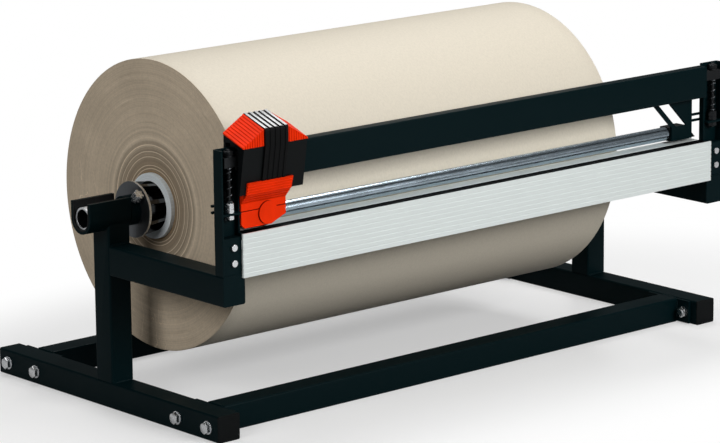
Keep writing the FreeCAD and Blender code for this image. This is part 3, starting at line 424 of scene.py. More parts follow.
@dataclass(frozen=True)
class Plastic(Finish):
    """Moulded plastic with a fine grain and flow marks."""

    grain: float = 0.02
    coat: float = 0.0
    gloss: float = 0.5
    grain_cells: float = 2200.0
    flow_cells: float = 40.0
    flow_stretch: Triple = (1.0, 1.0, 0.4)
    flow_shade: float = 0.86

    def detail(self, shader: Shader) -> None:
        """Grain of half a millimetre, roughness with slow flow marks.

        Args:
            shader: the material being built.
        """
        grain = shader.noise(self.grain_cells, 2.0)
        flow = shader.noise(self.flow_cells, 4.0, self.flow_stretch)
        shader.set(
            Base_Color=shader.ramp(flow, [(0.3, self.shade(self.flow_shade)), (0.65, self.colour)]),
            Roughness=shader.between(flow, self.roughness - 0.05, self.roughness + 0.07),
            Specular_IOR_Level=self.gloss,
            Coat_Weight=self.coat,
            Coat_Roughness=0.08,
            Normal=shader.bump(grain, self.grain * MM, 0.5),
        )


@dataclass(frozen=True)
class RollFace(Finish):
    """Outside of a paper roll: smooth paper with its fibres."""

    speck: float = 0.93
    speck_cells: float = 420.0
    wave_cells: float = 9.0
    fibre_cells: float = 1500.0
    fibre_height: float = 0.02 * MM
    wave_height: float = 0.3 * MM

    def detail(self, shader: Shader) -> None:
        """Specks and fibres that run round the roll, and hardly any waves.

        Args:
            shader: the material being built.
        """
        specks = shader.noise(self.speck_cells, 4.0, (1.0, 0.6, 0.6))
        waves = shader.noise(self.wave_cells, 2.0, (1.0, 0.3, 0.3))
        fibre = shader.noise(self.fibre_cells, 3.0, (0.6, 1.0, 1.0))
        waved = shader.bump(waves, self.wave_height, 0.15)
        shader.set(
            Base_Color=shader.ramp(specks, [(0.30, self.shade(self.speck)), (0.62, self.colour)]),
            Roughness=shader.between(waves, self.roughness - 0.03, self.roughness + 0.04),
            Specular_IOR_Level=0.18,
            Normal=shader.bump(fibre, self.fibre_height, 0.4, waved),
        )


@dataclass(frozen=True)
class RollEnd(Finish):
    """End of a paper roll: edges of the layers as rings round the axis."""

    middle: Triple = (0.0, 0.0, 0.0)
    core_radius: float = 50 * MM
    # Brown at the core of the end is painted shade.
    brown: Colour = (0.1, 0.08, 0.05)
    lines: tuple[float, ...] = (6 * MM, 11 * MM, 24 * MM, 32 * MM, 42 * MM)
    reach: float = 50 * MM
    line_width: float = 0.02
    line_glow: float = 1.35
    fold_cells: float = 34.0
    patch_cells: float = 9.0
    fold_start: float = 120 * MM
    fold_end: float = 165 * MM
    fold_height: float = 0.5 * MM
    fine_cells: float = 1100.0
    broad_cells: float = 150.0
    layer_height: float = 0.25 * MM
    calm_radius: float = 150 * MM
    busy_radius: float = 60 * MM

    def rings(self, shader: Shader, radius: object) -> Socket:
        """Colour over the radius: brown at the core as painted shade, with a pale line where the
        winding changed.

        Args:
            shader: the material being built.
            radius: distance from the axis.

        Returns:
            The colour socket.
        """
        share = shader.share(radius, self.core_radius, self.core_radius + self.reach)
        pale = tuple(min(1.0, part) for part in self.shade(self.line_glow))
        stops = [(0.0, self.brown)]
        for line in self.lines:
            place = line / self.reach
            blend = 0.25 + 0.7 * place
            dark = tuple((b + blend * (c - b)) * 0.8 for b, c in zip(self.brown, self.colour))
            stops += [(place - 1.1 * self.line_width, dark), (place, pale)]
            stops.append((place + self.line_width, dark))
        stops.append((1.0, self.colour))
        return shader.ramp(share, stops)

    def wrinkles(self, shader: Shader, radius: object) -> Socket:
        """Thin creases of folded edges in patches far from the core.

        Args:
            shader: the material being built.
            radius: distance from the axis.

        Returns:
            The factor socket.
        """
        cells = shader.noise(self.fold_cells, 3.0, (1.0, 1.0, 0.45))
        away = shader.math("ABSOLUTE", shader.math("SUBTRACT", cells, 0.5))
        line = shader.share(away, 0.009, 0.003)
        patch = shader.share(shader.noise(self.patch_cells, 1.0), 0.5, 0.62)
        rim = shader.share(radius, self.fold_start, self.fold_end)
        return shader.math("MULTIPLY", shader.math("MULTIPLY", line, patch), rim)

    def detail(self, shader: Shader) -> None:
        """Noise over the radius alone gives the layers. They waver a little round the axis.

        Args:
            shader: the material being built.
        """
        radius = shader.axis_radius(self.middle)
        waver = shader.math("MULTIPLY_ADD", shader.noise(7.0, 2.0), 4 * MM, -2.5 * MM)
        waver = shader.math("MULTIPLY_ADD", shader.noise(60.0, 2.0), 1 * MM, waver)
        bent = shader.math("ADD", radius, waver)
        near = shader.share(radius, self.calm_radius, self.busy_radius)
        fine = shader.layers(bent, self.fine_cells, 4.0)
        broad = shader.layers(bent, self.broad_cells, 3.0)
        fold = self.wrinkles(shader, radius)
        centred = shader.math("SUBTRACT", broad, 0.5)
        light = shader.math("MULTIPLY_ADD", centred, shader.between(near, 0.22, 1.1), 1.0)
        marks = ((fine, 0.26), (shader.noise(14.0, 4.0), 0.18), (shader.noise(260.0, 3.0), 0.14))
        for mark, swing in marks:
            light = shader.math("MULTIPLY", light, shader.between(mark, 1 - swing, 1 + swing))
        light = shader.math("ADD", light, shader.math("MULTIPLY", fold, 0.4))
        inputs = {0: self.rings(shader, bent), "Scale": light}
        colour = shader.node("ShaderNodeVectorMath", inputs, operation="SCALE").outputs[0]
        folded = shader.bump(fold, self.fold_height, 0.6)
        shader.set(
            Base_Color=colour,
            Roughness=self.roughness,
            Specular_IOR_Level=0.12,
            Normal=shader.bump(fine, self.layer_height, 0.6, folded),
        )


@dataclass(frozen=True)
class Card(Finish):
    """Wound card tube: layers that show in its end."""

    middle: Triple = (0.0, 0.0, 0.0)
    layer_cells: float = 1600.0
    layer_shade: float = 0.7
    fibre_cells: float = 700.0
    fibre_height: float = 0.04 * MM

    def detail(self, shader: Shader) -> None:
        """Rings over the radius, and fibres in the height.

        Args:
            shader: the material being built.
        """
        rings = shader.layers(shader.axis_radius(self.middle), self.layer_cells, 2.0)
        fibre = shader.noise(self.fibre_cells, 3.0)
        dark = self.shade(self.layer_shade)
        shader.set(
            Base_Color=shader.ramp(rings, [(0.3, dark), (0.6, self.colour)]),
            Roughness=self.roughness,
            Specular_IOR_Level=0.2,
            Normal=shader.bump(fibre, self.fibre_height, 0.6),
        )


AXIS = (0.0, 18.5 * MM, 295 * MM)
BLACK_PAINT = PowderCoat("black_powder_coat", (0.0007, 0.0075, 0.0092), 0.42, gloss=0.06)
ZINC = Metal("bright_zinc", (0.86, 0.88, 0.90), 0.26, scale=700.0, depth=0.01)
# Zinc darkened as a painted dark reflection on the faces of the hub plates.
ZINC_PAINTED_DARK = Metal("zinc_with_painted_dark_reflection", (0.16, 0.17, 0.18), 0.34, scale=700.0, depth=0.01)
BRIGHT_TUBE = Metal(
    "polished_tube", (0.50, 0.60, 0.68), 0.26,
    streak=(0.02, 1.0, 1.0), scale=900.0, depth=0.006, spread=0.10,
)
SHAFT_STEEL = Metal(
    "drawn_steel", (0.90, 0.92, 0.94), 0.3, streak=(0.03, 1.0, 1.0), scale=900.0, metallic=0.6,
)
# Blackened steel; on the faces inside the shaft's bore the same dark colour is painted shade.
DARK_STEEL = Metal("blackened_steel_and_painted_bore_shade", (0.022, 0.024, 0.026), 0.38, scale=600.0, metallic=0.8)
MATT_BLACK = Plastic("black_plastic", (0.0012, 0.0022, 0.0026), 0.5, gloss=0.12)
HUB_BLACK = Plastic("hub_plastic", (0.0016, 0.0020, 0.0024), 0.16, gloss=0.5, coat=0.8)
GLOSS_BLACK = Plastic("gloss_black_plastic", (0.0012, 0.0014, 0.0016), 0.2, grain=0.006, gloss=0.5)
RIB_BLACK = Plastic("rib_black_plastic", (0.0010, 0.0012, 0.0014), 0.45, gloss=0.10)
ORANGE = Plastic("orange_plastic", (0.98, 0.034, 0.0004), 0.45, gloss=0.08)
ALUMINIUM = Metal(
    "extruded_aluminium", (0.80, 0.855, 0.84), 0.45,
    streak=(0.01, 1.0, 1.0), scale=1100.0, metallic=0.2, cloud=0.985,
)
# Darker orange for the floors of the wing grooves is painted shade.
GROOVE_SHADE_ORANGE = Plastic("orange_plastic_painted_groove_shade", (0.62, 0.012, 0.0002), 0.6, gloss=0.04)
# Very dark orange on seam chamfers and on the button's side is painted shade.
GAP_SHADE_ORANGE = Plastic("orange_plastic_painted_gap_shade", (0.22, 0.006, 0.0002), 0.6, gloss=0.04)
STRIP = Plastic("strip_plastic", (0.0015, 0.0018, 0.002), 0.6, gloss=0.02)
NYLON = Plastic("black_nylon", (0.004, 0.0045, 0.005), 0.5, gloss=0.2)
BLADE_STEEL = Metal("ground_blade", (0.74, 0.76, 0.78), 0.2, scale=1200.0, depth=0.006)
SPRING_WIRE = Metal("spring_wire", (0.12, 0.13, 0.14), 0.3, scale=900.0)
PAPER = RollFace("roll_paper", (0.700, 0.640, 0.530), 0.6)
# The brown near the core of the roll's end is painted shade.
PAPER_END = RollEnd(
    "roll_paper_end", (0.66, 0.545, 0.405), 0.85, middle=AXIS, brown=(0.21, 0.14, 0.075),
)
CARD = Card("core_card", (0.90, 0.96, 0.98), 0.7, middle=AXIS)


def corners(node: str) -> tuple[np.ndarray, np.ndarray]:
    """Lowest and highest corner of a CAD node.

    Args:
        node: the node's name.

    Returns:
        Both corners as arrays.
    """
    low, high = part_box(node)
    return np.array(low), np.array(high)


def place_mesh(name: str, mesh: bpy.types.Mesh) -> bpy.types.Object:
    """Links a mesh as an object at the origin.

    Args:
        name: the object's name.
        mesh: its mesh.

    Returns:
        The object.
    """
    made = bpy.data.objects.new(name, mesh)
    bpy.context.scene.collection.objects.link(made)
    return made


def grid_quads(rows: int, columns: int, close_rows: bool, close_columns: bool) -> np.ndarray:
    """Quads over a grid of points, counted row by row.

    Args:
        rows, columns: size of the grid.
        close_rows, close_columns: whether the last row or column joins the first.

    Returns:
        Four indices for each quad.
    """
    index = np.arange(rows * columns).reshape(rows, columns)
    if close_rows:
        index = np.vstack([index, index[:1]])
    if close_columns:
        index = np.hstack([index, index[:, :1]])
    quads = [index[:-1, :-1], index[1:, :-1], index[1:, 1:], index[:-1, 1:]]
    return np.stack(quads, -1).reshape(-1, 4)


def grid_object(
    name: str,
    grids: list[np.ndarray],
    close_rows: bool = False,
    sharp: float = 35.0,
) -> bpy.types.Object:
    """Closed object from grids of points whose columns run round.

    Args:
        name: the object's name.
        grids: one array of rows x columns x 3 for each shell.
        close_rows: whether the last row joins the first, as on a ring; else both get a face.
        sharp: edges over this angle in degrees stay sharp.

    Returns:
        The object, its faces turned outward.
    """
    points, faces, base = [], [], 0
    for grid in grids:
        rows, columns, _ = grid.shape
        points.append(grid.reshape(-1, 3))
        faces += (grid_quads(rows, columns, close_rows, True) + base).tolist()
        if not close_rows:
            faces.append((np.arange(columns) + base).tolist())
            faces.append((np.arange(columns)[::-1] + base + (rows - 1) * columns).tolist())
        base += rows * columns
    mesh = bpy.data.meshes.new(name)
    mesh.from_pydata(np.vstack(points).tolist(), [], faces)
    work = bmesh.new()
    work.from_mesh(mesh)
    bmesh.ops.recalc_face_normals(work, faces=work.faces)
    work.to_mesh(mesh)
    work.free()
    mesh.shade_smooth()
    mesh.set_sharp_from_angle(angle=math.radians(sharp))
    return place_mesh(name, mesh)


def ring_round(
    path: np.ndarray,
    out: np.ndarray,
    side: np.ndarray,
    radius: np.ndarray,
    sides: int,
) -> np.ndarray:
    """Grid of a round section along a path.

    Formula: point = path + radius * (cos(turn) * out + sin(turn) * side).

    Args:
        path: points along the middle, rows x 3.
        out, side: unit vectors across the path, rows x 3 each.
        radius: radius at each row.
        sides: points round the section.

    Returns:
        rows x sides x 3 points.
    """
    turn = np.linspace(0, TURN, sides, endpoint=False)[None, :, None]
    across = np.cos(turn) * out[:, None, :] + np.sin(turn) * side[:, None, :]
    return path[:, None, :] + radius[:, None, None] * across


def coiled_wire(path: np.ndarray, out: np.ndarray, wire: float, sides: int) -> np.ndarray:
    """Grid of a round wire along a coil.

    Formula: the section lies in the plane of the coil's outward direction and of that direction
    crossed with the path's own direction.

    Args:
        path: points along the wire's middle, rows x 3.
        out: unit vectors away from the coil's axis, rows x 3.
        wire: the wire's diameter.
        sides: points round the section.

    Returns:
        rows x sides x 3 points.
    """
    along = np.gradient(path, axis=0)
    along /= np.linalg.norm(along, axis=1)[:, None]
    return ring_round(path, out, np.cross(along, out), np.full(len(path), wire / 2), sides)


@dataclass
class Assembly:
    """Sub-assembly of pieces that ride on bodies of the frame."""

    title: str
    made: list[bpy.types.Object] = field(default_factory=list)

    def take(
        self,
        piece: bpy.types.Object,
        nodes: tuple[str, ...],
        body: Body,
        finish: Finish,
        slot: Slot,
    ) -> bpy.types.Object:
        """Dresses a piece and hands it to the frame in place of CAD nodes.

        Args:
            piece: the new object.
            nodes: the CAD nodes it stands for, or none for an addition such as a weld.
            body: the body it rides on.
            finish: its finish.
            slot: the record's slot; not used.

        Returns:
            The piece.
        """
        if not piece.data.materials:
            piece.data.materials.append(finish.build())
        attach(piece, body.value)
        if nodes:
            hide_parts(*nodes)
        self.made.append(piece)
        LOG.info("%s: %s, %d faces", self.title, piece.name, len(piece.data.polygons))
        return piece

    def soften(
        self,
        node: str,
        finish: Finish,
        slot: Slot,
        edge: Edge = Edge.FINE,
        limit: float = 35.0,
    ) -> bpy.types.Object:
        """Piece made from a merged copy of its CAD mesh, with broken edges.

        Args:
            node: the CAD node.
            finish: its finish.
            slot: the record's slot.
            edge: how far edges are broken.
            limit: edges over this angle in degrees are broken.

        Returns:
            The piece.
        """
        source = frame["nodes"][node]
        mesh = source.data.copy()
        mesh.materials.clear()
        if "custom_normal" in mesh.attributes:
            mesh.attributes.remove(mesh.attributes["custom_normal"])
        work = bmesh.new()
        work.from_mesh(mesh)
        bmesh.ops.remove_doubles(work, verts=work.verts, dist=MERGE_DISTANCE)
        bmesh.ops.dissolve_limit(
            work, angle_limit=FLAT_ANGLE, verts=work.verts, edges=work.edges,
        )
        bmesh.ops.recalc_face_normals(work, faces=work.faces)
        work.to_mesh(mesh)
        work.free()
        mesh.shade_smooth()
        mesh.set_sharp_from_angle(angle=math.radians(limit))
        piece = place_mesh("look_" + node, mesh)
        bevel = piece.modifiers.new("edges", "BEVEL")
        bevel.limit_method = "ANGLE"
        bevel.angle_limit = math.radians(limit)
        bevel.width = edge.value
        bevel.segments = EDGE_STEPS
        bevel.harden_normals = True
        return self.take(piece, (node,), Body(source["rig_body"]), finish, slot)

    def accent(self, piece: bpy.types.Object, finish: Finish, chosen: Callable) -> None:
        """Gives some faces of a piece a second finish.

        Args:
            piece: the piece.
            finish: the second finish.
            chosen: from the faces' centres and normals (faces x 3 each) to a mask.
        """
        mesh = piece.data
        mesh.materials.append(finish.build())
        centres = np.empty(len(mesh.polygons) * 3, np.float32)
        normals = np.empty_like(centres)
        mesh.polygons.foreach_get("center", centres)
        mesh.polygons.foreach_get("normal", normals)
        mask = chosen(centres.reshape(-1, 3), normals.reshape(-1, 3))
        mesh.polygons.foreach_set("material_index", mask.astype(np.int32))

    def plain(self, node: str, finish: Finish) -> None:
        """Dresses a CAD node that is shown as it is, such as a hidden piece.

        Args:
            node: the CAD node.
            finish: its finish.
        """
        mesh = frame["nodes"][node].data
        mesh.materials.clear()
        mesh.materials.append(finish.build())


@dataclass
class StandFrame(Assembly):
    """Welded and bolted frame of square tube."""

    title: str = "frame"
    tubes: tuple[str, ...] = (
        "rail_left", "rail_right", "cross_tube_front", "cross_tube_rear",
        "upright_left", "upright_right", "arm_left", "arm_right", "post_left", "post_right",
    )
    small_parts: tuple[str, ...] = (
        "cradle_left", "cradle_right", "bed_bracket_left", "bed_bracket_right",
        "spring_seats", "mounting_blocks",
    )
    bead_radius: float = 2.4 * MM
    bead_pitch: float = 3.2 * MM
    bead_sides: int = 12
    bead_steps: int = 6
    slant: Triple = (0.36, 0.48, 0.8)
    fewest_rows: int = 8
    tube: float = 40 * MM
    flange: float = 5 * MM
    seam_inset: float = 3 * MM
    seam_low: float = 4 * MM
    seam_high: float = 36 * MM
    seam_top: float = 38.5 * MM
    bright_nuts_below: float = 360 * MM

    def build(self) -> None:
        """Tubes, posts, cradles, their weld beads and the fasteners."""
        for node in self.tubes:
            self.soften(node, BLACK_PAINT, Slot.PAINT, Edge.FINE)
        for node in self.small_parts:
            self.soften(node, BLACK_PAINT, Slot.PAINT, Edge.SOFT)
        self.soften("rail_caps", MATT_BLACK, Slot.BLACK, Edge.SOFT)
        self.soften("cradle_liners", NYLON, Slot.LINER, Edge.SHARP)
        for node in ("base_bolts", "base_washers", "base_nuts", "bed_screws"):
            self.soften(node, ZINC, Slot.ZINC, Edge.SHARP)
        nuts = self.soften("guide_nuts", DARK_STEEL, Slot.ZINC, Edge.SHARP)
        self.accent(nuts, ZINC, self.bright_nuts)
        self.welds()

    def bright_nuts(self, at: np.ndarray, facing: np.ndarray) -> np.ndarray:
        """Faces of the lower guide nuts on the left, which get bright zinc while the other nuts
        stay dark.

        Args:
            at: centres of the faces.
            facing: their normals; not used.

        Returns:
            The mask.
        """
        return (at[:, 2] < self.bright_nuts_below) & (at[:, 0] < 0)

    def seams(self) -> np.ndarray:
        """Start and end of each weld seam.

        Returns:
            seams x 2 x 3 points.
        """
        lines = []
        for side in ("left", "right"):
            upright_low, upright_high = corners("upright_" + side)
            arm_low, arm_high = corners("arm_" + side)
            post_low, post_high = corners("post_" + side)
            x0, x1 = upright_low[0] + self.seam_inset, upright_high[0] - self.seam_inset
            for y in (upright_low[1], upright_high[1]):
                lines.append([(x0, y, upright_low[2]), (x1, y, upright_low[2])])
            for z in (arm_low[2], arm_high[2]):
                lines.append([(x0, upright_low[1], z), (x1, upright_low[1], z)])
            lines.append([(x0, post_high[1], post_low[2]), (x1, post_high[1], post_low[2])])
        for node in ("cross_tube_front", "cross_tube_rear"):
            low, high = corners(node)
            middle = (low[1] + high[1]) / 2
            front, back = middle - self.tube / 2, middle + self.tube / 2
            y0, y1 = front + self.seam_inset, back - self.seam_inset
            for x in (low[0] + self.flange, high[0] - self.flange):
                for y in (front, back):
                    lines.append([(x, y, self.seam_low), (x, y, self.seam_high)])
                lines.append([(x, y0, self.seam_top), (x, y1, self.seam_top)])
        return np.array(lines)

    def welds(self) -> None:
        """Weld beads along the seams.

        Formula: radius = bead radius x (0.8 + 0.2 x |cos(pi x distance / pitch)|), and it falls
        to nearly nothing over the last pitch at both ends.
        """
        grids = []
        for start, end in self.seams():
            length = float(np.linalg.norm(end - start))
            rows = max(self.fewest_rows, int(length / self.bead_pitch * self.bead_steps))
            share = np.linspace(0, 1, rows)
            along = (end - start) / length
            out = np.cross(along, self.slant)
            out /= np.linalg.norm(out)
            side = np.cross(along, out)
            ripple = 0.8 + 0.2 * np.abs(np.cos(math.pi * share * length / self.bead_pitch))
            ends = np.clip(np.minimum(share, 1 - share) * length / self.bead_pitch, 0.02, 1) ** 0.5
            path = start + share[:, None] * (end - start)
            tile = np.ones((rows, 1))
            radius = self.bead_radius * ripple * ends
            grids.append(ring_round(path, tile * out, tile * side, radius, self.bead_sides))
        piece = grid_object("weld_beads", grids, sharp=60.0)
        self.take(piece, (), Body.STAND, BLACK_PAINT, Slot.PAINT)


@dataclass
class Spindle(Assembly):
    """Shaft, hubs and the roll of paper on its core."""

    title: str = "spindle"
    rings: int = 110
    columns: int = 288
    relief: float = 0.5 * MM
    sheet: float = 0.15 * MM
    sheet_edge: float = 0.85 * math.pi
    rim: float = 0.3 * MM
    face_rows: int = 30
    mean_over: int = 5
    dents: int = 60

    def build(self) -> None:
        """All pieces on the shaft's axis."""
        shaft = self.soften("shaft", SHAFT_STEEL, Slot.SHAFT, Edge.FINE)
        # The faces inside the shaft's bore get dark steel as painted shade.
        self.accent(shaft, DARK_STEEL, self.bore)
        self.soften("core", CARD, Slot.CARD, Edge.FINE)
        for side in ("left", "right"):
            self.soften("hub_cone_" + side, HUB_BLACK, Slot.BLACK, Edge.SOFT)
            # Each plate's face gets darkened zinc as a painted dark reflection; its rim faces keep
            # bright zinc.
            plate = self.soften("hub_plate_" + side, ZINC_PAINTED_DARK, Slot.ZINC, Edge.FINE)
            self.accent(plate, ZINC, lambda at, facing: np.abs(facing[:, 0]) < 0.5)
            self.soften("collar_" + side, BLACK_PAINT, Slot.PAINT, Edge.FINE)
            self.soften("lock_knob_" + side, ZINC, Slot.ZINC, Edge.FINE)
        self.paper()

    @staticmethod
    def bore(at: np.ndarray, facing: np.ndarray) -> np.ndarray:
        """Faces that look towards the shaft's axis.

        Args:
            at: centres of the faces.
            facing: their normals.

        Returns:
            The mask.
        """
        return ((at - np.array(AXIS)) * facing)[:, 1:].sum(1) < -MM

    def end_relief(self, seed: int) -> np.ndarray:
        """Height of the wound edges over a roll's end.

        Formula: a running mean of noise over the radius, deeper near the core, plus soft dents
        that are Gaussians of radius and angle.

        Args:
            seed: of the noise.

        Returns:
            rings x columns heights in metres.
        """
        rng = np.random.default_rng(seed)
        kernel = np.ones(self.mean_over) / self.mean_over
        steps = np.convolve(rng.normal(size=self.rings + self.mean_over - 1), kernel, "valid")
        share = np.linspace(0, 1, self.rings)
        rings = steps * self.relief * (0.4 + 1.4 * np.exp(-share * 6))
        turn = np.linspace(0, TURN, self.columns, endpoint=False)
        relief = np.repeat(rings[:, None], self.columns, 1)
        where = rng.uniform((0.1, 0), (0.98, TURN), (self.dents, 2))[:, :, None, None]
        size = rng.uniform((0.006, 0.02), (0.03, 0.12), (self.dents, 2))[:, :, None, None]
        depth = rng.normal(size=self.dents)[:, None, None] * self.relief
        away = np.angle(np.exp(1j * (turn[None, None, :] - where[:, 1]))) / size[:, 1]
        across = (share[None, :, None] - where[:, 0]) / size[:, 0]
        relief += (depth * np.exp(-(away**2 + across**2) / 2)).sum(0)
        relief[0] = relief[-1] = 0
        return relief

    def paper(self) -> None:
        """The roll.

        Formula: both ends are rings from core to rim, moved along X by their relief. The outside
        is one turn of a spiral, so that the radius falls by one sheet's thickness over the turn
        and the sheet's edge stands out at the lower back. A bore closes it on the core.
        """
        low, high = corners("paper_roll")
        _, core_high = corners("core")
        inner = core_high[2] - AXIS[2]
        outer = (high[2] - low[2]) / 2
        turn = np.linspace(0, TURN, self.columns, endpoint=False)
        drop = self.sheet * np.mod(turn - self.sheet_edge, TURN) / TURN
        radius = np.linspace(inner, outer - self.rim, self.rings)[:, None].repeat(self.columns, 1)
        left = np.stack([low[0] - self.end_relief(SEED), radius], -1)
        right = np.stack([high[0] + self.end_relief(SEED + 1), radius], -1)[::-1]
        across = np.linspace(low[0] + self.rim, high[0] - self.rim, self.face_rows)
        face = np.stack(np.broadcast_arrays(across[:, None], (outer - drop)[None, :]), -1)
        profile = np.concatenate([left, face, right])
        y = AXIS[1] + profile[..., 1] * np.cos(turn)
        z = AXIS[2] + profile[..., 1] * np.sin(turn)
        grid = np.stack([profile[..., 0], y, z], -1)
        piece = grid_object("look_paper_roll", [grid], close_rows=True, sharp=50.0)
        piece.data.materials.append(PAPER.build())
        piece.data.materials.append(PAPER_END.build())
        row = np.arange(grid.shape[0]).repeat(self.columns)
        is_end = (row < self.rings) | (row >= self.rings + self.face_rows - 1)
        piece.data.polygons.foreach_set("material_index", is_end.astype(np.int32))
        self.take(piece, ("paper_roll",), Body.SPINDLE, PAPER, Slot.PAPER)


@dataclass
class Bed(Assembly):
    """Aluminium bed with its cutting strip."""

    title: str = "bed"

    def build(self) -> None:
        """Profile and strip."""
        self.soften("bed_profile", ALUMINIUM, Slot.ALUMINIUM, Edge.SHARP)
        self.soften("cutting_strip", STRIP, Slot.STRIP, Edge.SHARP)


@dataclass
class BeamUnit(Assembly):
    """Guide beam with lugs, brackets, end blocks and the press tube."""

    title: str = "beam"

    def build(self) -> None:
        """All pieces of the beam and the tube under it."""
        self.soften("guide_beam", BLACK_PAINT, Slot.PAINT, Edge.SHARP)
        self.soften("beam_lugs", DARK_STEEL, Slot.PAINT, Edge.SOFT)
        for side in ("left", "right"):
            self.soften("press_bracket_" + side, BLACK_PAINT, Slot.PAINT, Edge.FINE)
        self.soften("bracket_screws", BLACK_PAINT, Slot.PAINT, Edge.FINE)
        self.soften("end_blocks", MATT_BLACK, Slot.BLACK, Edge.SOFT)
        self.soften("press_tube", BRIGHT_TUBE, Slot.TUBE, Edge.FINE)
        self.plain("press_axle", SHAFT_STEEL)
        self.plain("press_bushes", NYLON)


@dataclass
class SpringGuides(Assembly):
    """Threaded rods and the springs that lift the beam."""

    title: str = "guides"
    pitch: float = 1.25 * MM
    sides: int = 24
    steps: int = 5
    thread_depth: float = 0.6
    chamfer: float = 1 * MM
    wire: float = 1.6 * MM
    wire_sides: int = 12
    turn_steps: int = 48
    smooth_over: int = 13
    active: int = 4
    end_rise: float = 2.2 * MM
    travel: float = 4.1 * MM

    def build(self) -> None:
        """Rods and springs on both sides."""
        self.rods()
        for side in ("left", "right"):
            self.spring(side)

    def rods(self) -> None:
        """Both rods with a real thread.

        Formula: radius = outer radius - thread depth x pitch x t, where t is a triangle wave of
        height / pitch - angle / turn. The wave fades at both ends, which are chamfered.
        """
        low, high = corners("guide_rods")
        radius = (high[1] - low[1]) / 2
        middle = (low[1] + high[1]) / 2
        rows = int((high[2] - low[2]) / self.pitch) * self.steps
        z = np.linspace(low[2], high[2], rows)
        turn = np.linspace(0, TURN, self.sides, endpoint=False)
        phase = np.mod(z[:, None] / self.pitch - turn[None, :] / TURN, 1.0)
        wave = np.abs(2 * phase - 1)
        end = np.minimum(z - low[2], high[2] - z)
        fade = np.clip(end / self.pitch, 0, 1)[:, None]
        bevel = np.clip(self.chamfer - end, 0, None)[:, None]
        r = radius - self.thread_depth * self.pitch * wave * fade - 0.8 * bevel
        y = middle + r * np.sin(turn)
        height = np.broadcast_to(z[:, None], r.shape)
        sides = (low[0] + radius, high[0] - radius)
        grids = [np.stack([x + r * np.cos(turn), y, height], -1) for x in sides]
        piece = grid_object("look_guide_rods", grids, sharp=80.0)
        self.take(piece, ("guide_rods",), Body.STAND, DARK_STEEL, Slot.ZINC)

    def spring(self, side: str) -> None:
        """One lifting spring with closed ends.

        Formula: the middle of the wire is at (r cos a, r sin a, h(a)). h climbs slowly over the
        first and last turn and evenly over the active turns between them.

        Args:
            side: "left" or "right".
        """
        node = "lift_spring_" + side
        low, high = corners(node)
        length = high[2] - low[2]
        coil = (high[0] - low[0] - self.wire) / 2
        turns = self.active + 2
        angle = np.linspace(0, TURN * turns, self.turn_steps * turns + 1)
        knots = np.array([0, 1, turns - 1, turns]) * TURN
        heights = [self.wire / 2, self.wire / 2 + self.end_rise]
        heights += [length - self.wire / 2 - self.end_rise, length - self.wire / 2]
        z = np.interp(angle, knots, heights)
        kernel = np.ones(self.smooth_over) / self.smooth_over
        z = np.convolve(np.pad(z, self.smooth_over // 2, mode="edge"), kernel, "valid")
        middle = (low + high) / 2
        out = np.stack([np.cos(angle), np.sin(angle), 0 * angle], -1)
        path = middle * (1, 1, 0) + coil * out + np.stack([0 * z, 0 * z, low[2] + z], -1)
        grid = coiled_wire(path, out, self.wire, self.wire_sides)
        piece = grid_object("look_" + node, [grid], sharp=50.0)
        self.take(piece, (node,), Body.STAND, SPRING_WIRE, Slot.SPRING)
        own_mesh(piece)


